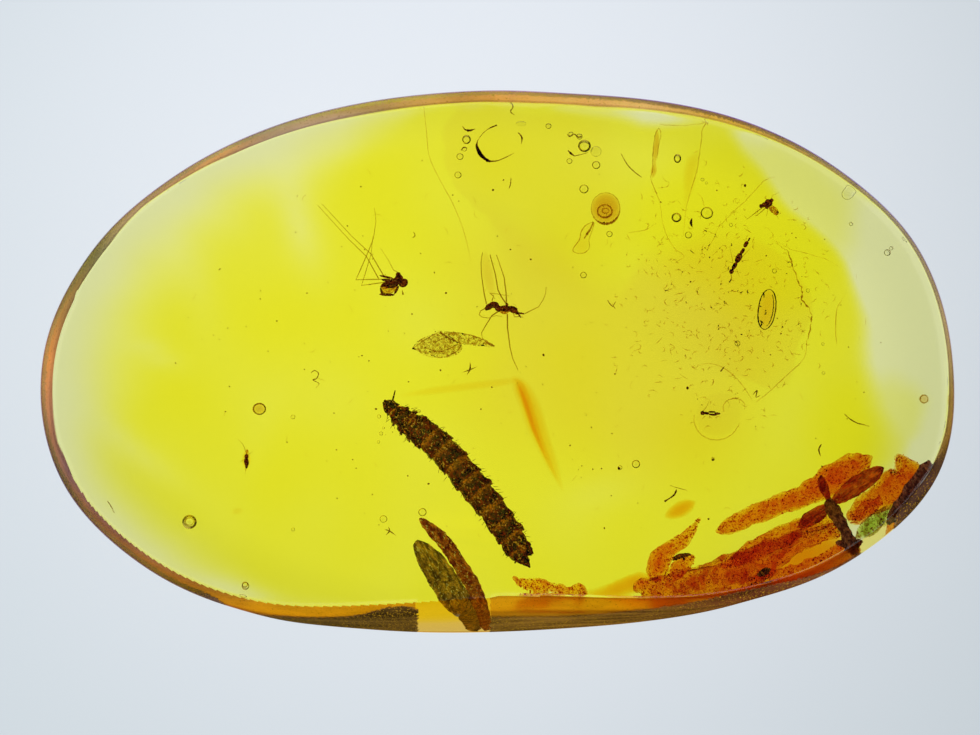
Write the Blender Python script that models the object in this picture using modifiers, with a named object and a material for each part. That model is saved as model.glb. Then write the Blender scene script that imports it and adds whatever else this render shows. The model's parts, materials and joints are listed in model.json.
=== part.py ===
"""Insect in amber: one hand-polished slab of fossil resin, resting on its flat base.

Units are metres and +Z is up. The origin is the middle of the base, and the long way of the
stone runs along X. The stone is a single natural piece, so the model is a single object. Its
cross-section is turned once around Z and then drawn out to the stone's uneven oval outline.
"""

import math

import bmesh
import bpy

MM = 0.001

COLLECTION_NAME = "insect_in_amber"
STONE_NAME = "amber_stone"
MATERIAL_NAME = "polished_amber"

# Driving dimensions of the stone, in millimetres.
LENGTH_MM = 30.0
HEIGHT_MM = 6.4
DOME_RISE_MM = 0.45        # from the rim of the top face to its middle
SHOULDER_WIDTH_MM = 0.46   # rounded edge between the top face and the side wall, seen from above
SHOULDER_DROP_MM = 0.80    # height of that rounded edge
SHOULDER_START_DEG = 30.0  # slope where the edge breaks away from the top face
END_SHOULDER_SHARE = 0.78  # the edge is narrower at the two ends than along the long sides
WALL_TUCK_MM = 0.08        # how far the wall draws in on its way down to the foot
BACK_FLARE_MM = 0.15       # the wall facing +Y was ground at a slant and runs out to the base
FRONT_FLARE_MM = 0.78      # so was the middle of the wall facing -Y, over the angle below
FRONT_FLARE_HALF_DEG = 50.0
FOOT_HEIGHT_MM = 0.45      # rounded lower edge
FOOT_WIDTH_MM = 0.30

# Girdle radius of the oval at every 15 degrees, anticlockwise from +X. The stone was ground by
# hand: its left end is blunter than its right, and the edge facing -X -Y is nearly straight.
GIRDLE_RADII_MM = (
    14.73, 14.08, 12.57, 11.06, 9.77, 8.97, 8.78, 8.97, 9.61, 10.69, 12.15, 13.80,
    14.97, 14.93, 13.53, 11.69, 9.79, 8.70, 8.28, 8.54, 9.53, 11.21, 13.19, 14.76,
)
MEAN_SHAPE_RATIO = 0.58    # width over length, used only to space the columns evenly

# How finely the turned shape is cut.
TURN_STEPS = 84
DOME_RINGS = 8
SHOULDER_RINGS = 5
WALL_RINGS = 3
FOOT_RINGS = 4

TURN_RADIUS_MM = 10.0      # radius at which the cross-section is turned
RIM_ZONE_MM = 1.2          # outside this ring distances from the edge are kept as they are
MERGE_MM = 0.001

# Fresh amber: deep honey yellow, clear, with a glossy hand polish.
AMBER_COLOUR = (0.83, 0.62, 0.04, 1.0)
AMBER_IOR = 1.54
AMBER_ROUGHNESS = 0.08


def clear_scene():
    """Remove every object that the opened file holds."""
    for item in list(bpy.data.objects):
        bpy.data.objects.remove(item, do_unlink=True)


def stone_collection():
    """Return the collection that is named for the object, linked into the scene."""
    collection = bpy.data.collections.new(COLLECTION_NAME)
    bpy.context.scene.collection.children.link(collection)
    return collection


def dome_points():
    """Cross-section of the top face, from the axis out to its rim, as (inset, height) in mm."""
    rim_height = HEIGHT_MM - DOME_RISE_MM
    reach = TURN_RADIUS_MM - SHOULDER_WIDTH_MM
    points = []
    for ring in range(DOME_RINGS):
        share = math.sin(math.pi / 2.0 * ring / DOME_RINGS)
        height = rim_height + DOME_RISE_MM * (1.0 - share ** 2)
        points.append((TURN_RADIUS_MM - share * reach, height))
    return points


def shoulder_points():
    """Cross-section of the rounded upper edge, from the top face's rim to the wall."""
    start = math.radians(SHOULDER_START_DEG)
    rim_height = HEIGHT_MM - DOME_RISE_MM
    points = []
    for ring in range(SHOULDER_RINGS + 1):
        angle = start + (math.pi / 2.0 - start) * ring / SHOULDER_RINGS
        inset = SHOULDER_WIDTH_MM * (1.0 - math.sin(angle)) / (1.0 - math.sin(start))
        drop = SHOULDER_DROP_MM * (1.0 - math.cos(angle) / math.cos(start))
        points.append((inset, rim_height - drop))
    return points


def wall_points():
    """Cross-section of the side wall, from below the upper edge down to the foot."""
    top = HEIGHT_MM - DOME_RISE_MM - SHOULDER_DROP_MM
    points = []
    for ring in range(1, WALL_RINGS + 1):
        share = ring / WALL_RINGS
        points.append((WALL_TUCK_MM * share ** 2, top + (FOOT_HEIGHT_MM - top) * share))
    return points


def foot_points():
    """Cross-section of the rounded lower edge, ending at the middle of the flat base."""
    points = []
    for ring in range(1, FOOT_RINGS + 1):
        angle = math.pi / 2.0 * ring / FOOT_RINGS
        inset = WALL_TUCK_MM + FOOT_WIDTH_MM * (1.0 - math.cos(angle))
        points.append((inset, FOOT_HEIGHT_MM * (1.0 - math.sin(angle))))
    points.append((TURN_RADIUS_MM, 0.0))
    return points


def turned_blank(collection):
    """Turn the cross-section around Z with a Screw modifier and return it as a plain mesh."""
    section = dome_points() + shoulder_points() + wall_points() + foot_points()
    vertices = [((TURN_RADIUS_MM - inset) * MM, 0.0, height * MM) for inset, height in section]
    edges = [(index, index + 1) for index in range(len(vertices) - 1)]
    profile_mesh = bpy.data.meshes.new("stone_profile")
    profile_mesh.from_pydata(vertices, edges, [])
    profile = bpy.data.objects.new("stone_profile", profile_mesh)
    collection.objects.link(profile)

    screw = profile.modifiers.new("Turn", "SCREW")
    screw.axis = "Z"
    screw.angle = math.tau
    screw.steps = TURN_STEPS
    screw.render_steps = TURN_STEPS
    screw.use_merge_vertices = True
    screw.merge_threshold = MERGE_MM * MM

    bpy.context.view_layer.update()
    graph = bpy.context.evaluated_depsgraph_get()
    blank = bpy.data.meshes.new_from_object(profile.evaluated_get(graph))
    bpy.data.objects.remove(profile, do_unlink=True)
    return blank


def girdle_radius(angle):
    """Radius of the oval outline in mm at an angle, as a smooth closed curve through the radii."""
    count = len(GIRDLE_RADII_MM)
    place = (angle % math.tau) / math.tau * count
    index = int(place) % count
    share = place - int(place)
    before, start, end, after = (GIRDLE_RADII_MM[(index + step) % count] for step in (-1, 0, 1, 2))
    slope_start = (end - before) / 2.0
    slope_end = (after - start) / 2.0
    square = share * share
    cube = square * share
    return ((2.0 * cube - 3.0 * square + 1.0) * start + (cube - 2.0 * square + share) * slope_start
            + (3.0 * square - 2.0 * cube) * end + (cube - square) * slope_end)


def base_flare(angle):
    """How much further out the foot of the wall stands than its top, in mm, at an angle."""
    if angle > 0.0:
        return BACK_FLARE_MM * math.sin(angle)
    away = math.degrees(abs(angle + math.pi / 2.0)) / FRONT_FLARE_HALF_DEG
    return FRONT_FLARE_MM * math.cos(math.pi / 2.0 * min(away, 1.0))


def outline_point(turn_angle, turn_radius, height):
    """Place, in mm from the axis, of a point of the turned blank on the oval stone."""
    angle = math.atan2(MEAN_SHAPE_RATIO * math.sin(turn_angle), math.cos(turn_angle))
    girdle = girdle_radius(angle)
    inset = TURN_RADIUS_MM - turn_radius
    edge_share = END_SHOULDER_SHARE + (1.0 - END_SHOULDER_SHARE) * math.sin(angle) ** 2
    if inset <= RIM_ZONE_MM:
        radius = girdle - inset * edge_share
    else:
        inner = girdle - RIM_ZONE_MM * edge_share
        radius = inner * turn_radius / (TURN_RADIUS_MM - RIM_ZONE_MM)
    wall_top = HEIGHT_MM - DOME_RISE_MM - SHOULDER_DROP_MM
    lowness = max(0.0, 1.0 - height / wall_top)
    radius += base_flare(angle) * lowness * turn_radius / TURN_RADIUS_MM
    return radius * math.cos(angle), radius * math.sin(angle)


def draw_out_to_oval(blank):
    """Move the blank's points out to the oval, then centre and size it on the base."""
    shape = bmesh.new()
    shape.from_mesh(blank)
    bmesh.ops.remove_doubles(shape, verts=shape.verts, dist=MERGE_MM * MM)
    for vert in shape.verts:
        turn_radius = math.hypot(vert.co.x, vert.co.y) / MM
        turn_angle = math.atan2(vert.co.y, vert.co.x)
        place_x, place_y = outline_point(turn_angle, turn_radius, vert.co.z / MM)
        vert.co.x = place_x * MM
        vert.co.y = place_y * MM

    low_x = min(vert.co.x for vert in shape.verts)
    high_x = max(vert.co.x for vert in shape.verts)
    low_y = min(vert.co.y for vert in shape.verts)
    high_y = max(vert.co.y for vert in shape.verts)
    scale = LENGTH_MM * MM / (high_x - low_x)
    for vert in shape.verts:
        vert.co.x = (vert.co.x - (low_x + high_x) / 2.0) * scale
        vert.co.y = (vert.co.y - (low_y + high_y) / 2.0) * scale
    shape.to_mesh(blank)
    shape.free()


def amber_material():
    """Clear honey-yellow amber with a glossy polish."""
    material = bpy.data.materials.new(MATERIAL_NAME)
    material.use_nodes = True
    shader = material.node_tree.nodes["Principled BSDF"]
    shader.inputs["Base Color"].default_value = AMBER_COLOUR
    shader.inputs["Metallic"].default_value = 0.0
    shader.inputs["Roughness"].default_value = AMBER_ROUGHNESS
    shader.inputs["IOR"].default_value = AMBER_IOR
    shader.inputs["Transmission Weight"].default_value = 1.0
    return material


def build():
    """Model the stone in its own collection."""
    clear_scene()
    collection = stone_collection()
    mesh = turned_blank(collection)
    draw_out_to_oval(mesh)
    mesh.name = STONE_NAME
    mesh.materials.clear()
    mesh.materials.append(amber_material())
    mesh.shade_smooth()
    stone = bpy.data.objects.new(STONE_NAME, mesh)
    collection.objects.link(stone)


build()
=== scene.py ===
"""Insect in amber: the polished stone and everything that its resin caught, dressed for a render.

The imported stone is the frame. The resin is a finer copy of it with real hollow bubbles, and each
insect, leaf, crumb and flow mark is a mesh of its own sealed inside. Units are metres in the
meshes and millimetres in every size that a class holds.
"""

from __future__ import annotations

import json
import logging
import math
import random
from dataclasses import dataclass
from enum import Enum
from typing import Sequence

import bmesh
import bpy
from mathutils import Matrix, Vector, noise
from mathutils.bvhtree import BVHTree

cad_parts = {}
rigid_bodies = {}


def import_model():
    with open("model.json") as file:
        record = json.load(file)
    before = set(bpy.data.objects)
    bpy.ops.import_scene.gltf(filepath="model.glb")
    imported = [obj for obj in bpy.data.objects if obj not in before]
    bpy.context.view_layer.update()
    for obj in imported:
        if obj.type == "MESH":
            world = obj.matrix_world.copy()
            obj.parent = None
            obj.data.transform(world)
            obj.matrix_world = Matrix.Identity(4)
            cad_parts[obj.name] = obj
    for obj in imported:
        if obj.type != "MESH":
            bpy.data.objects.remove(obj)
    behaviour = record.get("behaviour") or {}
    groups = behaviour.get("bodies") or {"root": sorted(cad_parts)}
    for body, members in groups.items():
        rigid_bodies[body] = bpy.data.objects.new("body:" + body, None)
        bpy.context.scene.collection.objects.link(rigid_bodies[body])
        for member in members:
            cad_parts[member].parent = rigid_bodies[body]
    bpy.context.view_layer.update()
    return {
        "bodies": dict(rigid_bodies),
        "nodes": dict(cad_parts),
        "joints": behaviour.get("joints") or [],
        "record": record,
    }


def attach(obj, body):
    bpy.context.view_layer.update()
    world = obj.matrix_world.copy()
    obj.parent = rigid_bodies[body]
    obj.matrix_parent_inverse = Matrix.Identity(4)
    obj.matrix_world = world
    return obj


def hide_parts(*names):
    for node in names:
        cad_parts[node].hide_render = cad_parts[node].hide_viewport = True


LOG = logging.getLogger("insect_in_amber")

MM = 0.001
STONE_NODE = "amber_stone"
BODY = "root"

AMBER_IOR = 1.54
SKIN_IOR = 1.5
CLEAR_SKIN_IOR = 1.06             # clear tissue in amber bends the light only a little
PX = MM / 30.265                  # metres in the stone for one pixel of the frame
MIDDLE_PX = Vector((497.5, 365.5))    # where the stone's middle shows in the frame
RIND_MM = 0.02                    # the ground skin of the side wall
RIND_START = -2.0                 # it starts this many pixels outside its visible edge
RIND_BED = 1.5                    # how deep the resin makes room for it, in skins
SKIN_MM = 0.3                     # nothing is sealed closer than this under the surface


def linear(code: str) -> tuple[float, float, float, float]:
    """Turn an sRGB hex colour into the linear colour that a shader takes.

    Args:
        code: The colour as "#rrggbb".

    Returns:
        Linear red, green, blue and an alpha of one.
    """
    channels = []
    for start in (1, 3, 5):
        value = int(code[start:start + 2], 16) / 255.0
        channels.append(value / 12.92 if value <= 0.04045 else ((value + 0.055) / 1.055) ** 2.4)
    return (channels[0], channels[1], channels[2], 1.0)


def add_node(tree: bpy.types.NodeTree, kind: str, settings: dict | None = None,
             links: dict | None = None) -> bpy.types.Node:
    """Add one node, set its values and link its inputs.

    Args:
        tree: The node tree that takes the node.
        kind: The node's type name.
        settings: Values by input name, or by property name where no input has that name.
        links: Output sockets by the name or index of the input that they feed.

    Returns:
        The new node.
    """
    node = tree.nodes.new(kind)
    for name, value in (settings or {}).items():
        if isinstance(name, int) or name in node.inputs:
            node.inputs[name].default_value = value
        else:
            setattr(node, name, value)
    for name, socket in (links or {}).items():
        tree.links.new(socket, node.inputs[name])
    return node


def fresh_material(name: str) -> tuple[bpy.types.Material, bpy.types.NodeTree, bpy.types.Node]:
    """Make an empty node material.

    Args:
        name: The material's name.

    Returns:
        The material, its node tree and its output node.
    """
    material = bpy.data.materials.new(name)
    material.use_nodes = True
    tree = material.node_tree
    tree.nodes.clear()
    return material, tree, tree.nodes.new("ShaderNodeOutputMaterial")


def shaded(tree: bpy.types.NodeTree, output: bpy.types.Node, settings: dict,
           links: dict | None = None) -> bpy.types.Node:
    """Add a Principled shader, let it make the material's surface and return it."""
    shader = add_node(tree, "ShaderNodeBsdfPrincipled", settings, links)
    tree.links.new(shader.outputs["BSDF"], output.inputs["Surface"])
    return shader


def object_place(tree: bpy.types.NodeTree) -> bpy.types.NodeSocket:
    """Add a node that gives the place on the object and return its output."""
    return add_node(tree, "ShaderNodeTexCoord").outputs["Object"]


def scaled(tree: bpy.types.NodeTree, colour: bpy.types.NodeSocket,
           factor: bpy.types.NodeSocket) -> bpy.types.NodeSocket:
    """Add a node that dims or brightens a colour and return its output."""
    return add_node(tree, "ShaderNodeVectorMath", {"operation": "SCALE"},
                    {0: colour, "Scale": factor}).outputs["Vector"]


def ramp(tree: bpy.types.NodeTree, factor: bpy.types.NodeSocket,
         stops: Sequence[tuple[float, str]]) -> bpy.types.NodeSocket:
    """Add a colour ramp through stops, each a place and an sRGB hex colour."""
    node = add_node(tree, "ShaderNodeValToRGB", None, {"Fac": factor})
    elements = node.color_ramp.elements
    for element, (place, code) in zip(elements, (stops[0], stops[-1])):
        element.position = place
        element.color = linear(code)
    for place, code in stops[1:-1]:
        elements.new(place).color = linear(code)
    return node.outputs["Color"]


def clamp(value: float, low: float, high: float) -> float:
    """Hold a value between two limits."""
    return min(max(value, low), high)


def eased(share: float) -> float:
    """Turn an even share into one that starts and ends softly."""
    return share * share * (3.0 - 2.0 * share)


def deselect() -> None:
    """Leave nothing selected."""
    bpy.ops.object.select_all(action="DESELECT")


def pick(pieces: Sequence[bpy.types.Object]) -> None:
    """Select these pieces alone and make the first of them active."""
    deselect()
    for piece in pieces:
        piece.select_set(True)
    bpy.context.view_layer.objects.active = pieces[0]


def placed(name: str, data: bpy.types.ID) -> bpy.types.Object:
    """Put a mesh, a curve or a camera into the scene."""
    item = bpy.data.objects.new(name, data)
    bpy.context.scene.collection.objects.link(item)
    return item


def settle(piece: bpy.types.Object) -> bpy.types.Object:
    """Move a piece's place and turn into its mesh."""
    piece.data.transform(piece.matrix_world)
    piece.matrix_world = Matrix.Identity(4)
    return piece


def sealed(piece: bpy.types.Object, material: bpy.types.Material) -> bpy.types.Object:
    """Settle and dress a finished piece, and let it ride with the stone.

    Args:
        piece: The finished piece.
        material: Its material.

    Returns:
        The same piece.
    """
    settle(piece)
    piece.data.materials.clear()
    piece.data.materials.append(material)
    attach(piece, BODY)
    LOG.info("%s: %d faces", piece.name, len(piece.data.polygons))
    return piece


@dataclass(frozen=True)
class Ring:
    """One ring of a lofted piece, in metres: its middle, its two half axes and how it leans."""

    middle: Vector
    across: Vector
    up: Vector
    lean: Vector = Vector((0.0, 0.0, 0.0))   # moves the ring's two sides along the piece
    edge: float = 1.0                        # above one, the ring's sides are thin like a lens
    pale: float = 0.0                        # how much of the finish's pale tint shows here


def loft(name: str, rings: Sequence[Ring], sides: int = 16, levels: int = 1) -> bpy.types.Object:
    """Extrude a cap from ring to ring into a closed piece.

    Args:
        name: The piece's name.
        rings: The rings in order, with the first and last as small as the tips.
        sides: Points in a ring.
        levels: Subdivision levels that finish the piece.

    Returns:
        The piece, with a point attribute "pale".
    """
    deselect()
    bpy.ops.mesh.primitive_cylinder_add(vertices=sides, radius=1.0, depth=1.0,
                                        location=(0.0, 0.0, 0.5))
    piece = settle(bpy.context.active_object)
    piece.name = name
    bpy.ops.object.mode_set(mode="EDIT")
    bpy.ops.mesh.select_mode(type="FACE")
    shape = bmesh.from_edit_mesh(piece.data)
    for face in shape.faces:
        face.select_set(face.normal.z > 0.9)
    for _ in rings[2:]:
        bpy.ops.mesh.extrude_region_move(TRANSFORM_OT_translate={"value": (0.0, 0.0, 1.0)})
    bpy.ops.object.mode_set(mode="OBJECT")
    pale = piece.data.attributes.new("pale", "FLOAT", "POINT")
    for vert in piece.data.vertices:
        ring = rings[round(vert.co.z)]
        wide, high = vert.co.x, vert.co.y
        high = math.copysign(abs(high) ** ring.edge, high)
        vert.co = ring.middle + ring.across * wide + ring.up * high + ring.lean * abs(wide) ** 6
        pale.data[vert.index].value = ring.pale
    face_outwards(piece)
    if levels:
        apply_modifier(piece, "SUBSURF", levels=levels, render_levels=levels)
    piece.data.shade_smooth()
    return piece


def face_outwards(piece: bpy.types.Object) -> None:
    """Turn all faces of a closed piece outwards."""
    bpy.context.view_layer.objects.active = piece
    bpy.ops.object.mode_set(mode="EDIT")
    bpy.ops.mesh.select_all(action="SELECT")
    bpy.ops.mesh.normals_make_consistent(inside=False)
    bpy.ops.object.mode_set(mode="OBJECT")


def apply_modifier(piece: bpy.types.Object, kind: str, **settings: object) -> None:
    """Finish a piece with one modifier.

    Args:
        piece: The piece.
        kind: The modifier's type name.
        settings: Its settings.
    """
    modifier = piece.modifiers.new(kind.title(), kind)
    for name, value in settings.items():
        setattr(modifier, name, value)
    bpy.context.view_layer.objects.active = piece
    bpy.ops.object.modifier_apply(modifier=modifier.name)


def roughen(piece: bpy.types.Object, depth_mm: float, size_mm: float, seed: int = 0) -> None:
    """Push a piece's points in and out by smooth noise.

    Args:
        piece: The piece, in metres.
        depth_mm: Largest push.
        size_mm: Size of one lump.
        seed: Shifts the noise.
    """
    shift = Vector((3.7, 1.9, 5.3)) * seed
    pushes = [vert.normal * noise.noise(vert.co / (size_mm * MM) + shift) * depth_mm * MM
              for vert in piece.data.vertices]
    for vert, push in zip(piece.data.vertices, pushes):
        vert.co += push


def join(name: str, pieces: Sequence[bpy.types.Object]) -> bpy.types.Object:
    """Join pieces into the first of them and name it."""
    pick(pieces)
    if len(pieces) > 1:
        bpy.ops.object.join()
    pieces[0].name = name
    return pieces[0]


def curve_rows(rows: Sequence[Sequence[float]], count: int) -> list[list[float]]:
    """Run a smooth curve through rows of numbers.

    Args:
        rows: The rows that the curve passes through.
        count: How many rows to read from it, at even shares of its length.

    Returns:
        The new rows.
    """
    read = []
    for step in range(count):
        place = step / (count - 1) * (len(rows) - 1)
        start = min(int(place), len(rows) - 2)
        share = place - start
        near = [rows[clamp(start + shift, 0, len(rows) - 1)] for shift in (-1, 0, 1, 2)]
        square, cube = share * share, share ** 3
        read.append([
            0.5 * (2.0 * one + (two - before) * share
                   + (2.0 * before - 5.0 * one + 4.0 * two - after) * square
                   + (3.0 * one - before - 3.0 * two + after) * cube)
            for before, one, two, after in zip(*near)])
    return read


def threads(name: str, runs: Sequence[Sequence[tuple[Vector, float]]],
            sides: int = 6) -> bpy.types.Object:
    """Draw fine round threads as curves and turn them into one mesh.

    Args:
        name: The piece's name.
        runs: Each thread's points and radii, in metres.
        sides: Points round a thread, an even number.

    Returns:
        The threads as one mesh.
    """
    data = bpy.data.curves.new(name, "CURVE")
    data.dimensions = "3D"
    data.bevel_depth = 1.0
    data.bevel_resolution = sides // 2 - 2
    data.use_fill_caps = True
    for run in runs:
        spline = data.splines.new("POLY")
        spline.points.add(len(run) - 1)
        for point, (place, radius) in zip(spline.points, run):
            point.co = (*place, 1.0)
            point.radius = radius
    piece = placed(name, data)
    pick([piece])
    bpy.ops.object.convert(target="MESH")
    piece.data.shade_smooth()
    return piece


@dataclass(frozen=True)
class Absorption:
    """How strongly a clear body takes red, green and blue out of light, per millimetre."""

    red: float
    green: float
    blue: float

    def dress(self, tree: bpy.types.NodeTree, output: bpy.types.Node) -> None:
        """Give the material a plain absorbing volume with these strengths."""
        density = max(self.red, self.green, self.blue) / MM
        colour = tuple(1.0 - value / MM / density for value in (self.red, self.green, self.blue))
        volume = add_node(tree, "ShaderNodeVolumeAbsorption",
                          {"Color": (*colour, 1.0), "Density": density})
        tree.links.new(volume.outputs["Volume"], output.inputs["Volume"])


def read_line(points: Sequence[tuple[float, float]], place: float) -> float:
    """Read a broken line at a place, with its end values beyond its ends."""
    for near, far in zip(points, points[1:]):
        if place <= far[0]:
            share = max(place - near[0], 0.0) / (far[0] - near[0])
            return near[1] + (far[1] - near[1]) * share
    return points[-1][1]


@dataclass(frozen=True)
class GroundWall:
    """The hand-ground side wall: where its skin starts, its dark outer band, its clear windows.

    Places round the wall are shares of a turn from -X through -Y. Widths are pixels of the frame.
    """

    skin_px: tuple[tuple[float, float], ...] = (
        (0, 11.5), (0.03, 10), (0.05, 14), (0.08, 14), (0.11, 15), (0.44, 14), (0.475, 7), (0.5, 5.6),
        (0.56, 5.8), (0.6, 8.5), (0.65, 11), (0.7, 12.5), (0.78, 12.5), (0.85, 13.5), (0.88, 14),
        (0.905, 11), (0.935, 8), (0.96, 12.5), (0.985, 11.5), (1, 11.5))
    lip_px: float = 5.4
    # Upper border of the dark band on the front wall, in pixels across and down.
    band_line: tuple[tuple[float, float], ...] = (
        (200, 588), (230, 609), (265, 616), (312, 618), (350, 617), (368, 613.5), (386, 608),
        (402, 606.5), (416, 608), (424, 616), (500, 617.5), (560, 617), (600, 614.5), (630, 611.5),
        (660, 608), (700, 601.5), (740, 592), (780, 584), (810, 577), (840, 566), (862, 552), (889, 528),
        (900, 510), (915, 482), (926, 468), (936, 456), (945, 430))
    band_start: float = 0.105
    band_end: float = 0.468
    fade: float = 0.012
    # Places where the skin broke away, in pixels across.
    windows_px: tuple[tuple[float, float], ...] = ((417.0, 491.0), (860.5, 895.0))
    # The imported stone's rounded upper edge.
    shoulder_top_mm: float = 5.95
    shoulder_drop_mm: float = 0.80
    shoulder_width_mm: float = 0.46
    shoulder_start_deg: float = 30.0
    end_share: float = 0.78           # the edge is narrower at the two ends
    # Limits of the marks, and the heights between which the lower wall changes its tint.
    skin_limit_px: float = 3.0
    band_limit_px: float = 8.0
    foot_mm: float = 0.5
    low_wall_mm: tuple[float, float] = (5.1, 4.5)

    def inset_px(self, height_mm: float, share: float) -> float:
        """Return how far in from the outline a height on the rounded edge shows."""
        drop = clamp((self.shoulder_top_mm - height_mm) / self.shoulder_drop_mm, 0.0, 1.0)
        cosine = math.cos(math.radians(self.shoulder_start_deg)) * (1.0 - drop)
        narrow = self.end_share + (1.0 - self.end_share) * math.sin(share * math.tau) ** 2
        width_px = self.shoulder_width_mm * MM / PX
        return width_px * narrow * 2.0 * (1.0 - math.sqrt(1.0 - cosine ** 2))

    def mark(self, piece: bpy.types.Object, view: "Viewpoint") -> None:
        """Write the wall's zones on a piece's points.

        Args:
            piece: The stone's surface.
            view: The camera, in whose frame the zones are given.
        """
        names = ("rim", "skin", "band", "dull", "window", "low")
        for name in names:
            piece.data.attributes.new(name, "FLOAT", "POINT")
        layers = {name: piece.data.attributes[name].data for name in names}
        for vert in piece.data.vertices:
            for name, value in self.zones(vert, view).items():
                layers[name][vert.index].value = value

    def zones(self, vert: bpy.types.MeshVertex, view: "Viewpoint") -> dict[str, float]:
        """Return the marks of one point of the surface."""
        height_mm = vert.co.z / MM
        share = (math.atan2(-vert.co.y, -vert.co.x) / math.tau) % 1.0
        across, down = view.frame_point(vert.co)
        inset = self.inset_px(height_mm, share)
        most, reach = self.skin_limit_px, self.band_limit_px
        skin = read_line(self.skin_px, share) - inset
        if height_mm > self.shoulder_top_mm:
            skin = -most
        if height_mm < self.foot_mm:
            skin = most - 2.0 * most * clamp((abs(vert.normal.z) - 0.9) / 0.09, 0.0, 1.0)
        front = clamp(min(share - self.band_start, self.band_end - share) / self.fade, 0.0, 1.0)
        below = clamp(down - read_line(self.band_line, across), -reach, reach)
        beside = clamp(self.lip_px - inset, -reach, reach)
        open_px = max(min(across - start, end - across) for start, end in self.windows_px)
        high, low = self.low_wall_mm
        return {
            "skin": clamp(skin, -most, most),
            "rim": clamp(0.5 + 0.5 * skin, 0.0, 1.0),
            "band": below * front + beside * (1.0 - front),
            "dull": front,
            "low": (1.0 - front) * clamp((high - height_mm) / (high - low), 0.0, 1.0),
            "window": clamp(open_px, -reach, reach) if vert.co.y < 0.0 else -reach}


def attribute(tree: bpy.types.NodeTree, name: str) -> bpy.types.NodeSocket:
    """Add a node that reads one of the wall's marks and return its output."""
    return add_node(tree, "ShaderNodeAttribute", {"attribute_name": name}).outputs["Fac"]


def stepped(tree: bpy.types.NodeTree, value: bpy.types.NodeSocket, low: float, high: float,
            bottom: float = 0.0, top: float = 1.0) -> bpy.types.NodeSocket:
    """Add a soft step from one value to another.

    Args:
        tree: The node tree.
        value: The socket that drives the step.
        low: Where the step starts.
        high: Where it ends.
        bottom: The value before it.
        top: The value after it.

    Returns:
        The step's output.
    """
    node = add_node(tree, "ShaderNodeMapRange", {
        "interpolation_type": "SMOOTHSTEP", "From Min": low, "From Max": high,
        "To Min": bottom, "To Max": top}, {"Value": value})
    return node.outputs["Result"]


def reckoned(tree: bpy.types.NodeTree, kind: str, first: bpy.types.NodeSocket | float,
             second: bpy.types.NodeSocket | float, third: float = 0.0) -> bpy.types.NodeSocket:
    """Add a math node for sockets or plain numbers and return its output."""
    given = {0: first, 1: second, 2: third}
    links = {key: value for key, value in given.items() if not isinstance(value, float)}
    plain = {key: value for key, value in given.items() if isinstance(value, float)}
    return add_node(tree, "ShaderNodeMath", {"operation": kind, **plain}, links).outputs["Value"]


def mixed(tree: bpy.types.NodeTree, share: bpy.types.NodeSocket,
          first: bpy.types.NodeSocket | str, second: bpy.types.NodeSocket | str
          ) -> bpy.types.NodeSocket:
    """Add a colour mix of sockets or sRGB hex colours and return its output."""
    given = {"A": first, "B": second}
    links = {key: value for key, value in given.items() if not isinstance(value, str)}
    plain = {key: linear(value) for key, value in given.items() if isinstance(value, str)}
    return add_node(tree, "ShaderNodeMix", {"data_type": "RGBA", **plain},
                    {"Factor": share, **links}).outputs["Result"]


def noisy(tree: bpy.types.NodeTree, place: bpy.types.NodeSocket, size_mm: float,
          detail: float = 2.0, seed: float = 0.0) -> bpy.types.NodeSocket:
    """Add noise with lumps of a real size and return its output."""
    return add_node(tree, "ShaderNodeTexNoise", {
        "noise_dimensions": "4D", "W": seed, "Scale": 1.0 / (size_mm * MM), "Detail": detail,
        "Roughness": 0.6}, {"Vector": place}).outputs["Fac"]


@dataclass(frozen=True)
class PolishedAmber:
    """Fossil resin: lapped and polished clear on both faces, satin where the wall was ground."""

    name: str = "polished_amber"
    body: Absorption = Absorption(0.001, 0.005, 0.142)
    wall_roughness: float = 0.35

    def material(self) -> bpy.types.Material:
        """Build the material."""
        material, tree, output = fresh_material(self.name)
        place = object_place(tree)
        ground = stepped(tree, attribute(tree, "window"), -0.5, 1.0, 1.0, 0.0)
        matte = reckoned(tree, "MULTIPLY", ground, attribute(tree, "rim"))
        rough = reckoned(tree, "MULTIPLY", matte, self.wall_roughness)
        # A hand polish leaves waves too shallow to see but for the way they bend the light.
        swell = add_node(tree, "ShaderNodeBump", {"Strength": 0.06, "Distance": 0.05 * MM},
                         {"Height": noisy(tree, place, 2.2)})
        # Where the skin broke away, the break faces more upwards than the wall.
        lean = reckoned(tree, "MULTIPLY_ADD", ground, -0.9, 0.9)
        lift = add_node(tree, "ShaderNodeVectorMath",
                        {"operation": "SCALE", 0: (0.0, 0.0, 1.0)}, {"Scale": lean})
        tilted = add_node(tree, "ShaderNodeVectorMath", {"operation": "ADD"},
                          {0: swell.outputs["Normal"], 1: lift.outputs["Vector"]})
        facing = add_node(tree, "ShaderNodeVectorMath", {"operation": "NORMALIZE"},
                          {0: tilted.outputs["Vector"]})
        shaded(tree, output, {
            "distribution": "GGX", "Base Color": linear("#ffffff"), "IOR": AMBER_IOR,
            "Transmission Weight": 1.0},
            {"Roughness": rough, "Normal": facing.outputs["Vector"]})
        self.body.dress(tree, output)
        return material


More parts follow.
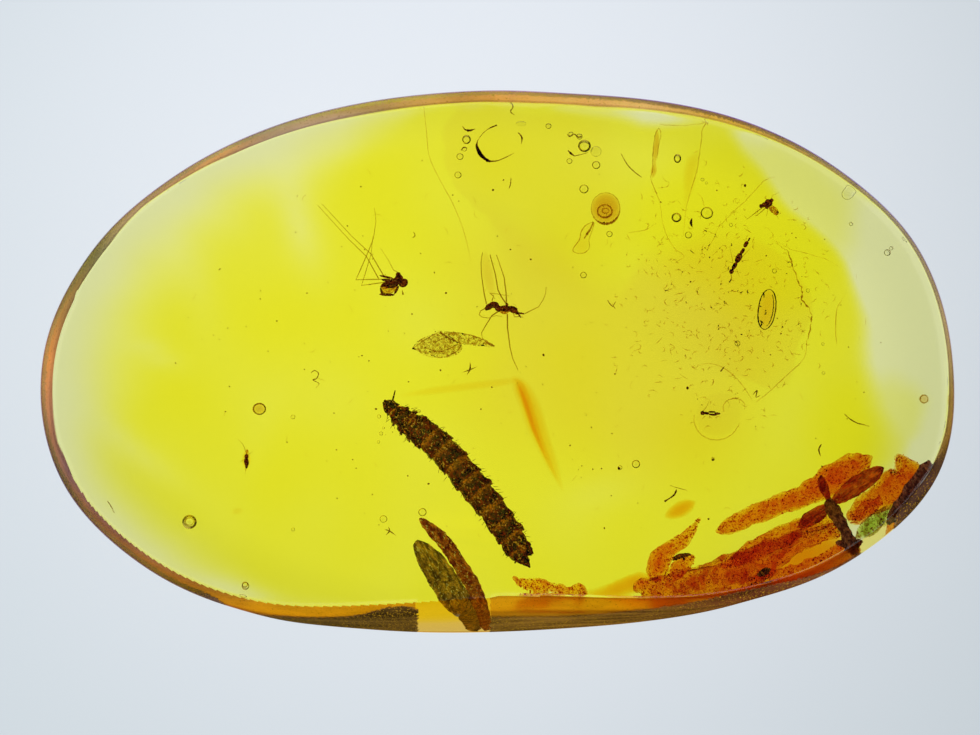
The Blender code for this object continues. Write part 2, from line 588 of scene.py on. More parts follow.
@dataclass(frozen=True)
class GroundRind:
    """The ground wall's skin: scratched and glowing on the bevel, dull and speckled outside, where the
    dark front band is partly the crust's own brown and partly painted shade.
    """

    name: str = "ground_amber_rind"
    # Tints round the wall from -X through -Y, +X and +Y back to -X, as (share, colour).
    bevel_tints: tuple[tuple[float, str], ...] = (
        (0.000, "#faa589"), (0.040, "#a878ab"), (0.065, "#a36c95"), (0.100, "#c07c70"),
        (0.130, "#e8a25c"), (0.300, "#e0a048"), (0.400, "#d88c58"), (0.450, "#b08068"),
        (0.475, "#c19983"), (0.500, "#c1a58f"), (0.560, "#dbc4b8"), (0.600, "#ffd0d0"),
        (0.660, "#ffcbff"), (0.750, "#ffbef0"), (0.820, "#c39ee0"), (0.875, "#c8a8c0"),
        (0.900, "#e6aab0"), (0.938, "#cba7c3"), (0.960, "#a09590"), (0.985, "#d19983"),
        (1.000, "#faa589"))
    # The outer band's tints. On the front they are partly the ground crust's own brown and partly painted
    # shade, the darkness that the surroundings leave on the wall there.
    band_tints: tuple[tuple[float, str], ...] = (
        (0.000, "#d19f9a"), (0.040, "#846c90"), (0.065, "#977398"), (0.090, "#947180"),
        (0.120, "#5a4530"), (0.145, "#544020"), (0.200, "#5a4018"), (0.215, "#7c5a20"),
        (0.310, "#7a541e"), (0.350, "#6e461c"), (0.380, "#6c361c"), (0.410, "#74462c"),
        (0.442, "#583c2c"), (0.462, "#543830"), (0.478, "#c19580"), (0.500, "#d4b5a8"),
        (0.560, "#c4b2d8"), (0.625, "#bc96d1"), (0.688, "#bca0c8"), (0.750, "#d8b5d8"),
        (0.812, "#ccb8cc"), (0.875, "#c8b4cc"), (0.938, "#ccacc0"), (0.960, "#9e9590"),
        (1.000, "#d19f9a"))
    # Pits in the crust are painted bright yellow as the light that shines through them.
    pit_glow_tint: str = "#f0b428"
    grain_tint: str = "#54381c"
    window_tint: str = "#f8cc64"
    right_window_tint: str = "#fff4b8"
    side_tint: str = "#e8c8a0"
    pit_mm: float = 0.055
    streak_mm: float = 3.0
    chip_mm: float = 0.10
    chip_sway_px: float = 9.0         # how far the dull band's border wanders
    break_mm: float = 0.22
    break_sway_px: float = 14.0       # how far the broken places' borders wander
    right_window_turn: tuple[float, float] = (0.39, 0.42)
    border_shade: float = 0.74        # the line along the skin's visible edge

    def material(self) -> bpy.types.Material:
        """Build the material."""
        material, tree, output = fresh_material(self.name)
        place = object_place(tree)
        turn = add_node(tree, "ShaderNodeTexGradient", {"gradient_type": "RADIAL"},
                        {"Vector": place}).outputs["Fac"]
        flat = add_node(tree, "ShaderNodeMapping", {"Scale": (1.0, 1.0, 4.0)}, {"Vector": place})
        streaks = noisy(tree, flat.outputs["Vector"], self.streak_mm, 5.0)
        grit = noisy(tree, place, self.pit_mm, 2.0)
        chips = noisy(tree, place, self.chip_mm, 5.0, 2.0)
        sway = reckoned(tree, "MULTIPLY_ADD", chips, self.chip_sway_px, -0.5 * self.chip_sway_px)
        band = stepped(tree, reckoned(tree, "ADD", attribute(tree, "band"), sway), -0.9, 0.9)
        dull = reckoned(tree, "MULTIPLY", band, attribute(tree, "dull"))
        # Scratches run along the wall; on the dull band they show lighter and darker.
        soft = stepped(tree, streaks, 0.36, 0.66, 0.80, 1.12)
        strong = stepped(tree, streaks, 0.38, 0.62, 0.55, 1.65)
        bevel = scaled(tree, ramp(tree, turn, self.bevel_tints), soft)
        depth = add_node(tree, "ShaderNodeMix", {"data_type": "FLOAT"},
                         {"Factor": dull, 2: soft, 3: strong}).outputs[0]
        # The band's tint: the crust's colour, with painted shade on the front.
        band_crust_and_shade = scaled(tree, ramp(tree, turn, self.band_tints), depth)
        # Bright yellow specks on the dull band: real pits in the crust, painted bright as the light that
        # shines through them.
        pit_glow = reckoned(tree, "MULTIPLY", stepped(tree, grit, 0.56, 0.66), dull)
        speckled = mixed(tree, pit_glow, band_crust_and_shade, self.pit_glow_tint)
        banded = mixed(tree, attribute(tree, "low"), mixed(tree, band, bevel, speckled),
                       self.side_tint)
        grains = stepped(tree, grit, 0.40, 0.30, 0.0, 0.7)
        grained = mixed(tree, grains, banded, self.grain_tint)
        lined = scaled(tree, grained,
                       stepped(tree, attribute(tree, "skin"), 1.1, 2.6, self.border_shade, 1.0))
        jag = reckoned(tree, "MULTIPLY_ADD", noisy(tree, place, self.break_mm, 4.0, 5.0),
                       self.break_sway_px, -0.5 * self.break_sway_px)
        window = stepped(tree, reckoned(tree, "ADD", attribute(tree, "window"), jag), -0.3, 0.5)
        open_tint = mixed(tree, stepped(tree, turn, *self.right_window_turn), self.window_tint,
                          self.right_window_tint)
        broken = mixed(tree, window, lined, open_tint)
        skin = stepped(tree, attribute(tree, "skin"), -0.35, 0.65)
        tint = mixed(tree, skin, "#ffffff", broken)
        closed = reckoned(tree, "SUBTRACT", 1.0, window)
        matte = reckoned(tree, "MULTIPLY", reckoned(tree, "MULTIPLY", dull, closed), skin)
        glow = reckoned(tree, "MULTIPLY_ADD", matte, -0.88, 1.0)
        rough = reckoned(tree, "MULTIPLY", matte, 0.95)
        shaded(tree, output, {"distribution": "GGX", "IOR": 1.0, "Specular IOR Level": 0.0},
               {"Base Color": tint, "Roughness": rough, "Transmission Weight": glow})
        return material


@dataclass(frozen=True)
class TintedResin:
    """Resin, jelly or tissue that bends no light of its own and only takes some of it."""

    name: str
    body: Absorption
    # Darker veins and fine grains that its surface carries, as sRGB tints and sizes.
    vein: str = ""
    vein_mm: float = 0.45
    grain: str = "#7c2010"
    grain_mm: float = 0.055

    def material(self) -> bpy.types.Material:
        """Build the material."""
        material, tree, output = fresh_material(self.name)
        shader = shaded(tree, output, {
            "Base Color": linear("#ffffff"), "Roughness": 0.0, "IOR": 1.0,
            "Specular IOR Level": 0.0, "Transmission Weight": 1.0})
        if self.vein:
            place = object_place(tree)
            veins = stepped(tree, noisy(tree, place, self.vein_mm, 4.0), 0.44, 0.62)
            grains = stepped(tree, noisy(tree, place, self.grain_mm, 3.0, 3.0), 0.53, 0.64)
            tint = mixed(tree, grains, mixed(tree, veins, "#ffffff", self.vein), self.grain)
            tree.links.new(tint, shader.inputs["Base Color"])
        self.body.dress(tree, output)
        return material


@dataclass(frozen=True)
class NaturalSkin:
    """A natural surface: two tints in patches, a paler one in its folds, grain and glints, the glints
    being painted highlight spots.
    """

    name: str
    dark: str
    light: str
    pale: str
    patch_mm: float = 0.25
    grain_mm: float = 0.03
    roughness: float = 0.45
    clearness: float = 0.0
    bump: float = 0.25
    contrast: float = 0.45
    glint: str = "#ffd8a0"
    glints: float = 0.0
    seed: float = 0.0
    # Direction of its fibres, anticlockwise from +X, and how long they run.
    fibre_deg: float = 0.0
    fibre_length: float = 1.0

    def material(self) -> bpy.types.Material:
        """Build the material."""
        material, tree, output = fresh_material(self.name)
        fibres = add_node(tree, "ShaderNodeMapping", {
            "vector_type": "TEXTURE", "Rotation": (0.0, 0.0, math.radians(self.fibre_deg)),
            "Scale": (self.fibre_length, 1.0, 1.0)},
            {"Vector": object_place(tree)})
        place = fibres.outputs["Vector"]
        patches = stepped(tree, noisy(tree, place, self.patch_mm, 3.0, self.seed), 0.42, 0.60)
        # The pale tint in the folds: on the larva partly its own paler colour and partly painted glow of
        # light shining through its thin joints.
        skin = mixed(tree, attribute(tree, "pale"), mixed(tree, patches, self.dark, self.light),
                     self.pale)
        grain = noisy(tree, place, self.grain_mm, 2.0, self.seed + 1.0)
        shade = stepped(tree, grain, 0.34, 0.66, 1.0 - self.contrast, 1.0 + self.contrast)
        grain_and_highlights = scaled(tree, skin, shade)
        # Glints: small spots painted in the glint colour as highlights.
        if self.glints:
            spots = stepped(tree, noisy(tree, place, self.grain_mm * 1.2, 1.0, self.seed + 3.0),
                            0.60, 0.68, 0.0, self.glints)
            grain_and_highlights = mixed(tree, spots, grain_and_highlights, self.glint)
        relief = add_node(tree, "ShaderNodeBump", {"Strength": self.bump, "Distance": 0.02 * MM},
                          {"Height": grain})
        shaded(tree, output, {
            "Roughness": self.roughness, "IOR": CLEAR_SKIN_IOR if self.clearness else SKIN_IOR,
            "Transmission Weight": self.clearness},
            {"Base Color": grain_and_highlights, "Normal": relief.outputs["Normal"]})
        return material


# Sclerotised larval plates: nearly black, red where thin, with a low waxy gloss and painted highlight
# spots; the pale orange at the joints is partly their own paler colour and partly painted glow of light
# shining through them.
LARVA_CUTICLE = NaturalSkin("larval_cuticle", "#200604", "#782010", "#f0a038", 0.16, 0.06, 0.25,
                            0.0, 1.0, 0.8, "#ffd0a0", 0.9)
# Adult gnat cuticle: dark brown and glossy, too small to show a grain, with painted highlight spots.
GNAT_CUTICLE = NaturalSkin("gnat_cuticle", "#4a1008", "#b05020", "#e09030", 0.08, 0.03, 0.35,
                           0.3, contrast=0.6, glint="#f8c890", glints=0.6)
# Soft body skin of a gnat, which lets the amber's light through.
GNAT_MEMBRANE = NaturalSkin("gnat_membrane", "#b86818", "#fce060", "#fff0a0", 0.09, 0.04, 0.25,
                            0.9, contrast=0.5)
# Bracts: dried leaf tissue, hammered by its collapsed cells, with painted highlight spots; the front one
# olive brown.
LEAF_TISSUE = NaturalSkin("leaf_tissue", "#5c4614", "#d8ac50", "#c06030", 0.16, 0.05, 0.30, 0.60,
                          1.0, 0.55, "#fffcc8", 1.0, 0.0, -57.0, 3.6)
# The bract behind is rusty, with brighter broken cells and painted highlight spots.
RUSTY_LEAF_TISSUE = NaturalSkin("rusty_leaf_tissue", "#7c2c14", "#d0803c", "#d0b050", 0.13, 0.05,
                                0.30, 0.60, 1.0, 0.6, "#fffcc8", 1.0, 4.0, -53.0, 1.8)
# Thin bud scales, clear enough for the light to show their ribs.
BUD_SCALE = TintedResin("bud_scale", Absorption(1.3, 2.0, 3.0), "#b89048", 0.10, "#806020", 0.05)


@dataclass(frozen=True)
class Viewpoint:
    """The camera: it looks down on the stone from the front, a little off the vertical."""

    elevation_deg: float = 88.0
    distance_mm: float = 269.85
    lens_mm: float = 300.0
    sensor_mm: float = 36.0
    target_mm: tuple[float, float, float] = (-0.245, -0.18, 3.2)
    frame_px: tuple[int, int] = (980, 735)

    def place(self) -> Vector:
        """Return the camera's place in metres."""
        tilt = math.radians(self.elevation_deg)
        offset = Vector((0.0, -math.cos(tilt), math.sin(tilt))) * self.distance_mm
        return (Vector(self.target_mm) + offset) * MM

    def turn(self) -> Matrix:
        """Return the camera's rotation."""
        return Matrix.Rotation(math.radians(90.0 - self.elevation_deg), 3, "X")

    def sight(self, across_px: float, down_px: float) -> Vector:
        """Return the direction of the sight line through a point of the frame."""
        width, height = self.frame_px
        reach = self.lens_mm / self.sensor_mm * width
        ray = Vector((across_px - width / 2.0, height / 2.0 - down_px, -reach))
        return (self.turn() @ ray).normalized()

    def frame_point(self, spot: Vector) -> tuple[float, float]:
        """Return the point of the frame, in pixels, where a place in metres shows."""
        width, height = self.frame_px
        seen = self.turn().transposed() @ (spot - self.place())
        reach = self.lens_mm / self.sensor_mm * width
        return width / 2.0 - seen.x / seen.z * reach, height / 2.0 + seen.y / seen.z * reach

    def build(self) -> bpy.types.Object:
        """Add the camera to the scene and look through it."""
        data = bpy.data.cameras.new("camera")
        data.lens = self.lens_mm
        data.sensor_width = self.sensor_mm
        data.clip_start = 0.01
        data.clip_end = 10.0
        camera = placed("camera", data)
        camera.location = self.place()
        camera.rotation_euler = self.turn().to_euler()
        bpy.context.scene.camera = camera
        return camera


@dataclass(frozen=True)
class LightTable:
    """A pale lit table top under the stone, and a soft room of light round it."""

    table_size_mm: float = 3000.0
    gap_mm: float = 0.05
    middle_colour: str = "#e9eff7"
    edge_colour: str = "#c9d3d9"
    glow_place_mm: float = 4.0    # how far behind the stone's middle the glow is strongest
    glow_mm: tuple[float, float] = (4.0, 28.0)    # where the glow starts and stops falling
    lamp_mm: float = 8.4          # half width of the lamp under the acrylic
    lamp_edge: float = 0.84       # where its edge starts to soften, as a share of that
    lamp_shape: float = 0.59      # its width over its length
    lamp_gain: float = 1.078
    side_fall: float = 0.0034     # loss of light per millimetre to the right
    acrylic_colour: str = "#3c3e40"
    strength: float = 0.93
    # The room's light from straight down to straight overhead.
    room: tuple[tuple[float, str], ...] = (
        (0.0, "#b9c0c6"), (0.35, "#f4f6fa"), (0.80, "#ffffff"), (0.91, "#3a3b3d"),
        (1.0, "#2c2d2f"))

    def build(self) -> None:
        """Add the table top and the room's light."""
        deselect()
        bpy.ops.mesh.primitive_circle_add(
            vertices=96, radius=self.table_size_mm * MM / 2.0, fill_type="NGON",
            location=(0.0, 0.0, -self.gap_mm * MM))
        table = settle(bpy.context.active_object)
        table.name = "light_table"
        table.data.materials.append(self.table_material())
        self.light_room()

    def table_material(self) -> bpy.types.Material:
        """Opal acrylic over soft light: faintly blue, brighter in the middle and to the left."""
        material, tree, output = fresh_material("opal_acrylic")
        place = object_place(tree)
        centre = add_node(tree, "ShaderNodeVectorMath",
                          {"operation": "DISTANCE", 1: (0.0, self.glow_place_mm * MM, 0.0)},
                          {0: place})
        fall = stepped(tree, centre.outputs["Value"], *(mark * MM for mark in self.glow_mm))
        glow = mixed(tree, fall, self.middle_colour, self.edge_colour)
        oval = add_node(tree, "ShaderNodeMapping", {"Scale": (self.lamp_shape, 1.0, 1.0)},
                        {"Vector": place})
        reach = add_node(tree, "ShaderNodeVectorMath", {"operation": "LENGTH"},
                         {0: oval.outputs["Vector"]})
        lamp = stepped(tree, reach.outputs["Value"], self.lamp_mm * MM,
                       self.lamp_edge * self.lamp_mm * MM, 1.0, self.lamp_gain)
        across = add_node(tree, "ShaderNodeSeparateXYZ", None, {0: place}).outputs["X"]
        side = reckoned(tree, "MINIMUM", reckoned(tree, "MAXIMUM", across, -0.02), 0.02)
        tilt = reckoned(tree, "MULTIPLY_ADD", side, -self.side_fall / MM, 1.0)
        level = reckoned(tree, "MULTIPLY", lamp, tilt)
        shaded(tree, output, {
            "Base Color": linear(self.acrylic_colour), "Roughness": 0.6,
            "Emission Strength": self.strength}, {"Emission Color": scaled(tree, glow, level)})
        return material

    def light_room(self) -> None:
        """Light the room softly from all sides, with a dim patch straight overhead."""
        world = bpy.data.worlds.new("soft_room")
        world.use_nodes = True
        bpy.context.scene.world = world
        tree = world.node_tree
        tree.nodes.clear()
        output = tree.nodes.new("ShaderNodeOutputWorld")
        place = add_node(tree, "ShaderNodeTexCoord")
        parts = add_node(tree, "ShaderNodeSeparateXYZ", None, {0: place.outputs["Generated"]})
        light = add_node(tree, "ShaderNodeBackground", {"Strength": 1.0},
                         {"Color": ramp(tree, parts.outputs["Z"], self.room)})
        tree.links.new(light.outputs["Background"], output.inputs["Surface"])


class Stone:
    """The polished resin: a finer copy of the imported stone."""

    def __init__(self, frame: dict, view: Viewpoint) -> None:
        """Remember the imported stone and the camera.

        Args:
            view: The camera, whose sight lines place what is sealed inside.
        """
        self.node: bpy.types.Object = frame["nodes"][STONE_NODE]
        self.view = view
        self.resin: bpy.types.Object | None = None
        self.surface: BVHTree | None = None

    def inside(self, across_px: float, down_px: float, height_mm: float) -> Vector:
        """Find the point in the resin that shows at a point of the frame.

        A sight line that misses the stone is brought in to its edge, and a point that would lie
        in the skin is moved in under it.

        Args:
            across_px: Pixels from the left edge of the frame.
            down_px: Pixels from its top edge.
            height_mm: Height of the point above the stone's base.

        Returns:
            The point, in metres.
        """
        spot = Vector((across_px, down_px))
        entry = None
        while entry is None:
            sight = self.view.sight(*spot)
            entry, normal, _, _ = self.surface.ray_cast(self.view.place(), sight)
            spot += (MIDDLE_PX - spot).normalized()
        ratio = 1.0 / AMBER_IOR
        cosine = -sight.dot(normal)
        bent = math.sqrt(1.0 - ratio * ratio * (1.0 - cosine * cosine))
        ray = ratio * sight + (ratio * cosine - bent) * normal
        drop = max(entry.z - height_mm * MM, SKIN_MM * MM)
        return entry - ray * (drop / ray.z)

    def rings(self, rows: Sequence[Sequence[float]], count: int, depth: float = 0.8,
              edge: float = 1.0) -> list[Ring]:
        """Lay rings along a smooth path through the resin.

        Args:
            rows: For each point, its pixels across and down, its height in mm, and the piece's
                half width there in pixels.
            count: How many rings to lay.
            depth: Half height of the piece over its half width.
            edge: How lens-like its section is.

        Returns:
            The rings, with their wide axis level.
        """
        read = curve_rows(rows, count)
        spots = [self.inside(*row[:3]) for row in read]
        rings = []
        for index, (spot, row) in enumerate(zip(spots, read)):
            ahead = spots[min(index + 1, count - 1)] - spots[max(index - 1, 0)]
            ahead.normalize()
            across = ahead.cross(Vector((0.0, 0.0, 1.0))).normalized()
            up = across.cross(ahead).normalized()
            half = max(row[3], 0.05) * PX
            rings.append(Ring(spot, across * half, up * half * depth, edge=edge))
        return rings

    def build(self) -> None:
        """Make the resin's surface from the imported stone."""
        resin = self.node.copy()
        resin.data = self.node.data.copy()
        resin.name = "resin"
        bpy.context.scene.collection.objects.link(resin)
        pick([resin])
        bpy.ops.object.mode_set(mode="EDIT")
        bpy.ops.mesh.select_all(action="SELECT")
        bpy.ops.mesh.remove_doubles(threshold=1e-6)
        bpy.ops.mesh.tris_convert_to_quads()
        bpy.ops.object.mode_set(mode="OBJECT")
        apply_modifier(resin, "SUBSURF", levels=2, render_levels=2)
        GroundWall().mark(resin, self.view)
        resin.data.materials.clear()
        resin.data.materials.append(PolishedAmber().material())
        resin.data.shade_smooth()
        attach(resin, BODY)
        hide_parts(STONE_NODE)
        self.resin = resin
        self.surface = BVHTree.FromPolygons(
            [vert.co.copy() for vert in resin.data.vertices],
            [tuple(face.vertices) for face in resin.data.polygons])
        LOG.info("resin: %d faces", len(resin.data.polygons))

    def hollow(self, skins: list[bpy.types.Object]) -> None:
        """Join the skins of the bubbles to the resin, so that it is hollow there."""
        for skin in skins:
            skin.data.materials.append(self.resin.data.materials[0])
        join("resin", [self.resin, *skins])
        LOG.info("resin with %d hollows: %d faces", len(skins), len(self.resin.data.polygons))

    def build_rind(self) -> bpy.types.Object:
        """Split the ground skin of the wall off the resin, as a thin closed shell."""
        rind = self.resin.copy()
        rind.data = self.resin.data.copy()
        rind.name = "ground_rind"
        bpy.context.scene.collection.objects.link(rind)
        skins = rind.data.attributes["skin"].data
        inner = bmesh.new()
        inner.from_mesh(rind.data)
        inner.verts.ensure_lookup_table()
        spare = [vert for vert in inner.verts if skins[vert.index].value < RIND_START]
        bmesh.ops.delete(inner, geom=spare, context="VERTS")
        inner.to_mesh(rind.data)
        inner.free()
        apply_modifier(rind, "SOLIDIFY", thickness=RIND_MM * MM, offset=-1.0)
        rind.data.shade_smooth()
        rims = self.resin.data.attributes["rim"].data
        moves = [vert.normal * rims[vert.index].value * RIND_MM * RIND_BED * MM
                 for vert in self.resin.data.vertices]
        for vert, move in zip(self.resin.data.vertices, moves):
            vert.co -= move
        return sealed(rind, GroundRind().material())


@dataclass(frozen=True)
class SoftPatch:
    """A soft oval patch of the frame, in pixels, that weakens or strengthens something."""

    across_px: float
    down_px: float
    half_width_px: float
    half_height_px: float
    turn_deg: float
    strength: float

    def share(self, across_px: float, down_px: float) -> float:
        """Return how much of the patch's strength reaches a point of the frame."""
        turn = math.radians(self.turn_deg)
        away_x = across_px - self.across_px
        away_y = down_px - self.down_px
        along = (away_x * math.cos(turn) - away_y * math.sin(turn)) / self.half_width_px
        over = (away_x * math.sin(turn) + away_y * math.cos(turn)) / self.half_height_px
        return self.strength * math.exp(-(along * along + over * over))


@dataclass(frozen=True)
class ResinFlow:
    """A sealed-in flow of differently tinted resin, with its own uneven edge and thickness."""

    name: str
    finish: TintedResin
    # Reach of the flow from its middle at even angles, anticlockwise from +X, and how softly it
    # thins out there.
    reach_mm: tuple[float, ...]
    softness_mm: tuple[float, ...]
    thickness_mm: float
    mid_height_mm: float = 3.05
    middle_px: tuple[float, float] = (497.5, 365.5)
    thin_places: tuple[SoftPatch, ...] = ()
    ripple: float = 0.0
    ripple_mm: float = 2.6
    thinnest: float = 0.04            # share of the thickness that is always left
    edge_ripple: float = 0.02
    columns: int = 160
    rings: int = 72

    def around(self, values: tuple[float, ...], angle: float) -> float:
        """Read a closed, smooth ring of values at an angle."""
        count = len(values)
        place = (angle % math.tau) / math.tau * count
        start = int(place) % count
        share = eased(place - int(place))
        return values[start] * (1.0 - share) + values[(start + 1) % count] * share

    def thickness(self, view: Viewpoint, spot: Vector, inward_mm: float,
                  softness_mm: float) -> float:
        """Return the flow's thickness in mm at a place on the stone's plan.

        Args:
            view: The camera, in whose frame the thin places are given.
            spot: The place, in metres.
            inward_mm: How far it lies inside the flow's edge.
            softness_mm: How softly the flow thins out there.

        Returns:
            The thickness, in mm.
        """
        across, down = view.frame_point(spot)
        edge = eased(min(inward_mm / softness_mm, 1.0))
        thin = sum(patch.share(across, down) for patch in self.thin_places)
        uneven = 1.0 + self.ripple * noise.noise(spot / (self.ripple_mm * MM))
        return self.thickness_mm * edge * max(self.thinnest, uneven - thin)

    def build(self, view: Viewpoint) -> bpy.types.Object:
        """Model the flow as a flattened ball whose two sides follow its thickness."""
        deselect()
        bpy.ops.mesh.primitive_uv_sphere_add(segments=self.columns, ring_count=self.rings,
                                             radius=1.0)
        flow = bpy.context.active_object
        flow.name = self.name
        middle = Vector(((self.middle_px[0] - MIDDLE_PX.x) * PX,
                         (MIDDLE_PX.y - self.middle_px[1]) * PX, 0.0))
        for vert in flow.data.vertices:
            across = math.hypot(vert.co.x, vert.co.y)
            angle = math.atan2(vert.co.y, vert.co.x)
            away = Vector((math.cos(angle), math.sin(angle), 0.0))
            reach = self.around(self.reach_mm, angle)
            reach *= 1.0 + self.edge_ripple * noise.noise((away + Vector((0.0, 0.0, 0.5))) * 9.0)
            plan = middle + away * across * reach * MM
            plan.z = self.mid_height_mm * MM
            half = 0.5 * self.thickness(view, plan, (1.0 - across) * reach,
                                        self.around(self.softness_mm, angle))
            side = 0.0 if abs(vert.co.z) < 1e-4 else math.copysign(1.0, vert.co.z)
            vert.co = plan
            vert.co.z += side * half * MM
        flow.data.shade_smooth()
        return sealed(flow, self.finish.material())


FLOWS = (
    # The main flow: deep yellow, with thin smoky places towards the left.
    ResinFlow("honey_flow", TintedResin("honey_resin", Absorption(0.0005, 0.01, 0.52)), (
        12.6, 12, 10.9, 10.9, 9.4, 8.7, 8.6, 8.9, 9.5, 10.2, 11.8, 13.4,
        14.5, 14.6, 13.3, 11.5, 9.6, 8.4, 7.75, 7.9, 9, 10.7, 12.7, 14.2), (
        1, 0.5, 0.5, 0.6, 0.6, 0.5, 0.5, 0.6, 1.8, 3.2, 3.6, 4,
        4, 3, 2.6, 1.4, 0.5, 0.3, 0.3, 0.3, 0.3, 0.5, 1, 2), 5, thin_places=(
            SoftPatch(300, 222, 22, 62, 16, 0.66), SoftPatch(345, 150, 62, 20, 14, 0.45),
            SoftPatch(170, 240, 26, 55, 28, 0.42), SoftPatch(160, 356, 30, 12, -25, 0.42),
            SoftPatch(132, 446, 62, 15, -38, 0.5), SoftPatch(600, 492, 40, 20, 10, 0.28),
            SoftPatch(895, 350, 30, 40, 0, 0.5), SoftPatch(235, 588, 60, 11, -14, 0.55),
            SoftPatch(205, 300, 20, 44, 10, 0.22), SoftPatch(262, 430, 18, 60, -20, 0.14),
            SoftPatch(640, 116, 62, 9, -4, 0.7)), ripple=0.22),
    # A paler tongue to the right of it, and a warm cloud in the middle of the stone.
    ResinFlow("pale_tongue", TintedResin("pale_honey_resin", Absorption(0.0005, 0.002, 0.16)), (
        3.5, 2.9, 2.5, 2.4, 3, 4, 5, 4.8, 4.2, 4, 4, 3.7), (
        1.2, 1, 0.8, 0.7, 1, 2, 2, 2, 2, 1.6, 1.4, 1.4), 4.6,
        middle_px=(762, 215), columns=72, rings=30),
    ResinFlow("front_tongue", TintedResin("pale_honey_resin", Absorption(0.0005, 0.002, 0.16)), (
        1.8, 2.2, 2.2, 2, 2.4, 2.8, 3, 2.8, 2.2, 1.8, 1.7, 1.5), (
        0.7, 0.9, 1.2, 1.4, 1.6, 1.6, 1.6, 1.4, 1.2, 0.8, 0.6, 0.5), 4,
        middle_px=(872, 428), columns=72, rings=30),
    ResinFlow("warm_cloud", TintedResin("warm_resin", Absorption(0.008, 0.026, 0.01)), (
        6.6, 6.6, 6.6, 6, 4.4, 3, 3, 3.6, 5, 7, 7.6, 6.8,
        6, 6.4, 6.6, 6, 5.4, 5.2, 5.4, 6, 6.4, 6.6, 6.4, 6.2), (
        2.5, 2.5, 2.5, 2.5, 2, 2, 2, 2.5, 3, 4, 4.5, 4.5,
        4, 4, 4, 4, 3.5, 3.5, 3.5, 3.5, 3.5, 3, 2.5, 2.5), 4.6,
        middle_px=(605, 350), columns=96, rings=40),
    # Older, duller resin behind the flow line at the top, and the crazed lump at the right.
    ResinFlow("dull_flow", TintedResin("dull_resin", Absorption(0.02, 0.046, 0.02)), (
        3.2, 3.4, 3.4, 3.3, 2.9, 2.6, 2.5, 2.6, 3, 3.9, 3.9, 3.5,
        3.1, 2.6, 2.3, 2.4, 2.8, 3.4, 3.9, 4.2, 4.2, 4, 3.6, 3.3), (
        2, 2, 1.6, 1, 0.8, 0.5, 0.5, 0.5, 0.4, 0.3, 0.15, 0.12,
        0.12, 0.12, 0.2, 0.4, 0.9, 1.5, 2, 2.4, 2.4, 2.2, 2, 2), 1.4,
        mid_height_mm=2.9, middle_px=(545, 190), columns=96, rings=40),
    ResinFlow("crazed_lump", TintedResin("crazed_resin", Absorption(0.014, 0.046, 0.05)), (
        2.55, 2.3, 2.35, 2.55, 2.8, 3.2, 3.6, 3.1, 2.4, 2.35, 3.05, 2.4), (
        0.12, 0.12, 0.2, 0.8, 1.2, 1.8, 2.2, 2, 0.9, 0.15, 0.12, 0.12), 1.5,
        mid_height_mm=3.4, middle_px=(735, 312), ripple=0.5, columns=96, rings=40),
    ResinFlow("round_film", TintedResin("film_resin", Absorption(0.02, 0.045, 0.03)), (
        0.76, 0.8, 0.72, 0.7, 0.74, 0.78, 0.72, 0.7), (
        0.1, 0.1, 0.1, 0.1, 0.1, 0.1, 0.1, 0.1), 0.9,
        mid_height_mm=4.6, middle_px=(716.5, 419), columns=48, rings=20),
)


